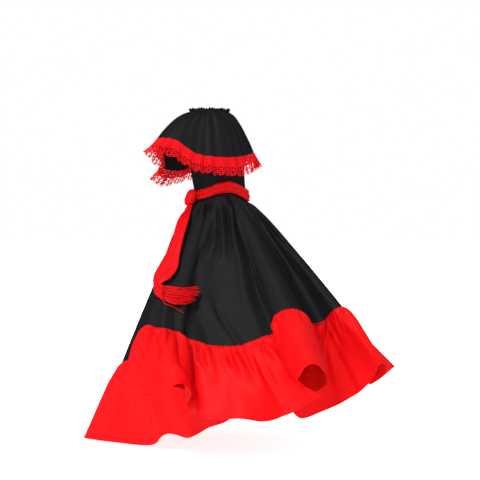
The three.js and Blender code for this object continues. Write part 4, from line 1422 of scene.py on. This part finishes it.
def tube_strands(
    name: str, strands: Sequence[np.ndarray], radius: float, tip_radius: float, sides: int = 5
) -> bpy.types.Object:
    """Makes a bunch of threads as one piece.

    Args:
        name: The piece's name.
        strands: The places that each thread passes, of shape (n, 3), in millimetres.
        radius: The threads' radius.
        tip_radius: The radius at their tips.
        sides: Faces round a thread.

    Returns:
        The piece, smooth, with a UV map along the threads.
    """
    points, faces, uvs = [], [], []
    first = 0
    turn = 2 * math.pi * np.arange(sides) / sides
    for line in strands:
        count = len(line)
        ahead = unit(np.gradient(line, axis=0))
        side = unit(np.cross(ahead, outward(line)))
        up = np.cross(side, ahead)
        size = radius + (tip_radius - radius) * np.linspace(0, 1, count) ** 3
        ring = side[:, None] * np.cos(turn)[:, None] + up[:, None] * np.sin(turn)[:, None]
        points.append((line[:, None] + ring * size[:, None, None]).reshape(-1, 3))
        along = np.arange(count) * np.linalg.norm(line[1] - line[0])
        around = turn * radius
        pairs = np.broadcast_arrays(along[:, None] + around, around)
        uvs.append(np.stack(pairs, -1).reshape(-1, 2))
        i, j = np.meshgrid(np.arange(count - 1), np.arange(sides), indexing="ij")
        k = (j + 1) % sides
        quads = [i * sides + j, i * sides + k, (i + 1) * sides + k, (i + 1) * sides + j]
        faces += (np.stack(quads, -1).reshape(-1, 4) + first).tolist()
        faces.append([first + s for s in range(sides)][::-1])
        faces.append([first + (count - 1) * sides + s for s in range(sides)])
        first += count * sides
    piece = new_piece(name, np.concatenate(points), faces)
    set_uv(piece, np.concatenate(uvs))
    only(piece)
    bpy.ops.object.mode_set(mode="EDIT")
    bpy.ops.mesh.select_all(action="SELECT")
    bpy.ops.mesh.normals_make_consistent(inside=False)
    bpy.ops.object.mode_set(mode="OBJECT")
    bpy.ops.object.shade_smooth()
    return piece


@dataclass
class SashEnd:
    """A hanging end of the sash with its fringe."""

    name: str
    rows: tuple[EndRow, ...]
    # Places that the strands pass, and where they end, from one edge to the other.
    middle: EndRow
    tip: EndRow
    flat: tuple[float, float]
    strands: int
    seed: int
    # A single strand that hangs apart.
    loose: tuple[tuple[float, float, float], ...] = ()
    # Columns from one edge to the other, and how many points are made across and down.
    columns: int = 4
    across: int = 28
    down: int = 90
    thickness: float = 1.2
    curl: float = 3.0
    # How far the strands lie on each other, how uneven their lengths are, and how many hang
    # from one knot.
    layers: tuple[float, float] = (0.6, 6)
    uneven: tuple[float, float] = (-0.34, 0.14)
    tassel: int = 6
    strand_radius: float = 1.0
    tip_radius: float = 0.75

    def __post_init__(self) -> None:
        """Draws the two edges."""
        self.left = SmoothCurve([fall_place(*row.left) for row in self.rows], False)
        self.right = SmoothCurve([fall_place(*row.right) for row in self.rows], False)

    def line(self, columns: np.ndarray, shares: np.ndarray) -> np.ndarray:
        """Finds the flat end between its two edges."""
        left, right = self.left.at(shares), self.right.at(shares)
        return left + (right - left) * (np.asarray(columns) / self.columns)[..., None]

    def surface(self, columns: np.ndarray, shares: np.ndarray) -> np.ndarray:
        """Finds the end's outer face with its long folds."""
        across = columns / self.columns
        crown = np.sin(math.pi * across)
        folds = 1.5 * np.cos(2 * math.pi * (2.5 * across + 0.6 * shares)) * crown**0.5
        wrinkles = 0.5 * np.cos(2 * math.pi * (5 * across - 1.5 * shares + 0.3)) * (1 - shares)
        normal = normals_of(self.line, columns, shares)
        height = self.curl * crown + folds + wrinkles
        return self.line(columns, shares) + normal * height[..., None]

    def root(self, across: float) -> np.ndarray:
        """Finds the place on the lower edge where a strand is knotted in."""
        return self.surface(np.array([[self.columns * across]]), FOOT)[0, 0]

    def strand_lines(self) -> list[np.ndarray]:
        """Draws the fringe's strands from the end's edge."""
        chance = np.random.default_rng(self.seed)
        lines = []
        for k in range(self.strands):
            share = 0.02 + 0.96 * k / (self.strands - 1)
            tassel = (k // self.tassel + 0.5) * self.tassel / self.strands
            held = 0.92 * tassel + 0.08 * share
            root = self.root(held)
            bend, foot = (
                fall_place(*row.left) + (fall_place(*row.right) - fall_place(*row.left)) * place
                for row, place in ((self.middle, 0.5 * tassel + 0.5 * share), (self.tip, share))
            )
            foot = foot + (foot - bend) * chance.uniform(*self.uneven)
            out = outward(bend)
            layer = chance.uniform(*self.layers)
            bend = bend + out * layer + [0, 0, chance.uniform(-2.5, 2.5)]
            foot = foot + out * layer * 0.9 + [0, 0, chance.uniform(-6, 5)]
            half = (bend + foot) / 2 + chance.uniform(-2.6, 2.6, 3)
            lines.append(SmoothCurve([root, bend, half, foot], False).at(np.linspace(0, 1, 13)))
        if self.loose:
            places = [self.root(0.025), *(fall_place(*place) for place in self.loose)]
            lines.append(SmoothCurve(places, False).at(np.linspace(0, 1, 17)))
        return lines

    def build(self, cloth: bpy.types.Material, yarn: bpy.types.Material) -> None:
        """Builds the end and its fringe."""
        columns = np.linspace(0, self.columns, self.across)[:, None]
        shares = np.linspace(0, 1, self.down)[None, :]
        end = cloth_sheet("sash_tail_" + self.name, self.surface(columns, shares), self.thickness)
        lines = self.strand_lines()
        threads = tube_strands("fringe_threads_" + self.name, lines, self.strand_radius, self.tip_radius)
        dress_piece(end, cloth, ["sash_end_" + self.name])
        dress_piece(threads, yarn, ["fringe_" + self.name])


# The studio.


class SoftLight(NamedTuple):
    """A light from far away."""

    name: str
    # How far it lies towards the camera, to the camera's right and up.
    way: tuple[float, float, float]
    # Its width as an angle in degrees, which softens its shadows.
    spread: float
    # Watts for each square metre.
    power: float
    # Whether it shows in what shines.
    glints: bool


LIGHTS = (
    SoftLight("key", (1.0, -0.8, 1.4), 10, 2.7, True),
    SoftLight("fill", (1.0, 0.6, 0.1), 40, 0.4, False),
)


@dataclass
class Studio:
    """The camera at the photograph's angle, the soft lights and the white floor."""

    azimuth: float = 127.0
    distance: float = 4.0
    height: float = -0.33
    aside: float = 0.096
    dip: float = 0.95
    lens: float = 96.75
    sensor: float = 36.0
    floor_level: float = -1.024
    floor_size: float = 60.0

    def directions(self) -> tuple[Vector, Vector]:
        """Finds the way to the camera and the way to its right."""
        angle = math.radians(self.azimuth)
        toward = Vector((math.sin(angle), -math.cos(angle), 0))
        right = Vector((math.cos(angle), math.sin(angle), 0))
        return toward, right

    def add_camera(self) -> None:
        """Adds the camera."""
        toward, right = self.directions()
        data = bpy.data.cameras.new("camera")
        data.lens = self.lens
        data.sensor_width = self.sensor
        camera = bpy.data.objects.new("camera", data)
        camera.location = right * self.aside + toward * self.distance + Vector((0, 0, self.height))
        camera.rotation_euler = (math.radians(90 - self.dip), 0, math.radians(self.azimuth))
        bpy.context.scene.collection.objects.link(camera)
        bpy.context.scene.camera = camera

    def add_light(self, kind: SoftLight) -> None:
        """Adds one of the lights."""
        toward, right = self.directions()
        data = bpy.data.lights.new(kind.name, "SUN")
        data.angle = math.radians(kind.spread)
        data.energy = kind.power
        light = bpy.data.objects.new(kind.name, data)
        light.location = toward * kind.way[0] + right * kind.way[1] + Vector((0, 0, kind.way[2]))
        light.rotation_euler = light.location.to_track_quat("Z", "Y").to_euler()
        light.visible_glossy = kind.glints
        bpy.context.scene.collection.objects.link(light)

    def add_surroundings(self, table: ShootingTable) -> None:
        """Adds the lights, the bright surroundings and the floor."""
        for kind in LIGHTS:
            self.add_light(kind)
        # The surroundings and the floor light the cloth evenly, and only the key light glints.
        world = bpy.data.worlds.new("studio")
        world.use_nodes = True
        background = world.node_tree.nodes["Background"]
        background.inputs["Color"].default_value = linear_colour("#ffffff")
        background.inputs["Strength"].default_value = 1.0
        bpy.context.scene.world = world
        world.cycles_visibility.glossy = False
        bpy.context.scene.view_settings.view_transform = "Standard"
        bpy.ops.object.select_all(action="DESELECT")
        bpy.ops.mesh.primitive_plane_add(size=self.floor_size, location=(0, 0, self.floor_level))
        floor = bpy.context.active_object
        floor.name = "floor"
        floor.visible_glossy = False
        floor.data.materials.append(table.material())


def corners(box: tuple[Vector, Vector]) -> list[list[float]]:
    """Turns a box's two corners to plain lists."""
    return [[float(value) for value in corner] for corner in box]


def main() -> None:
    """Builds the dress, piece by piece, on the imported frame."""
    logging.basicConfig(level=logging.INFO, format="%(name)s: %(message)s")
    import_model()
    studio = Studio()
    studio.add_camera()
    black = BLACK_CREPE.material()
    red = RED_CREPE.material()
    satin = RED_SATIN.material()
    lace = RED_LACE.material()
    yarn = RED_YARN.material()
    swirl = SwirlForm()
    shoulders = ShoulderForm()
    SashBand().build(satin)
    SashKnot().build(satin)
    NeckRuffle().build(black)
    Bodice().build(black)
    ShoulderFlounce(shoulders).build(black)
    LaceEdging(shoulders).build(lace)
    skirt = Skirt(swirl)
    skirt.build(black)
    HemFlounce(swirl, skirt).build(red)
    SashEnd(
        name="near",
        rows=NEAR_END,
        middle=EndRow((108, 374, 304), (108, 338, 259)),
        tip=EndRow((114.5, 340, 303), (118, 302, 257)),
        flat=(0.06, 0.34),
        strands=64,
        seed=3,
        loose=((104, 384, 303), (106.7, 381, 309), (111.9, 376, 328)),
    ).build(satin, yarn)
    SashEnd(
        name="far",
        rows=FAR_END,
        middle=EndRow((9.5, 219, 297), (18, 225, 299)),
        tip=EndRow((9, 244, 360), (16, 248, 362)),
        flat=(0.045, 0.25),
        strands=48,
        seed=4,
        curl=1.5,
        layers=(0, 2),
    ).build(satin, yarn)
    studio.add_surroundings(ShootingTable())
    bpy.ops.object.select_all(action="DESELECT")


if __name__ == "__main__":
    main()
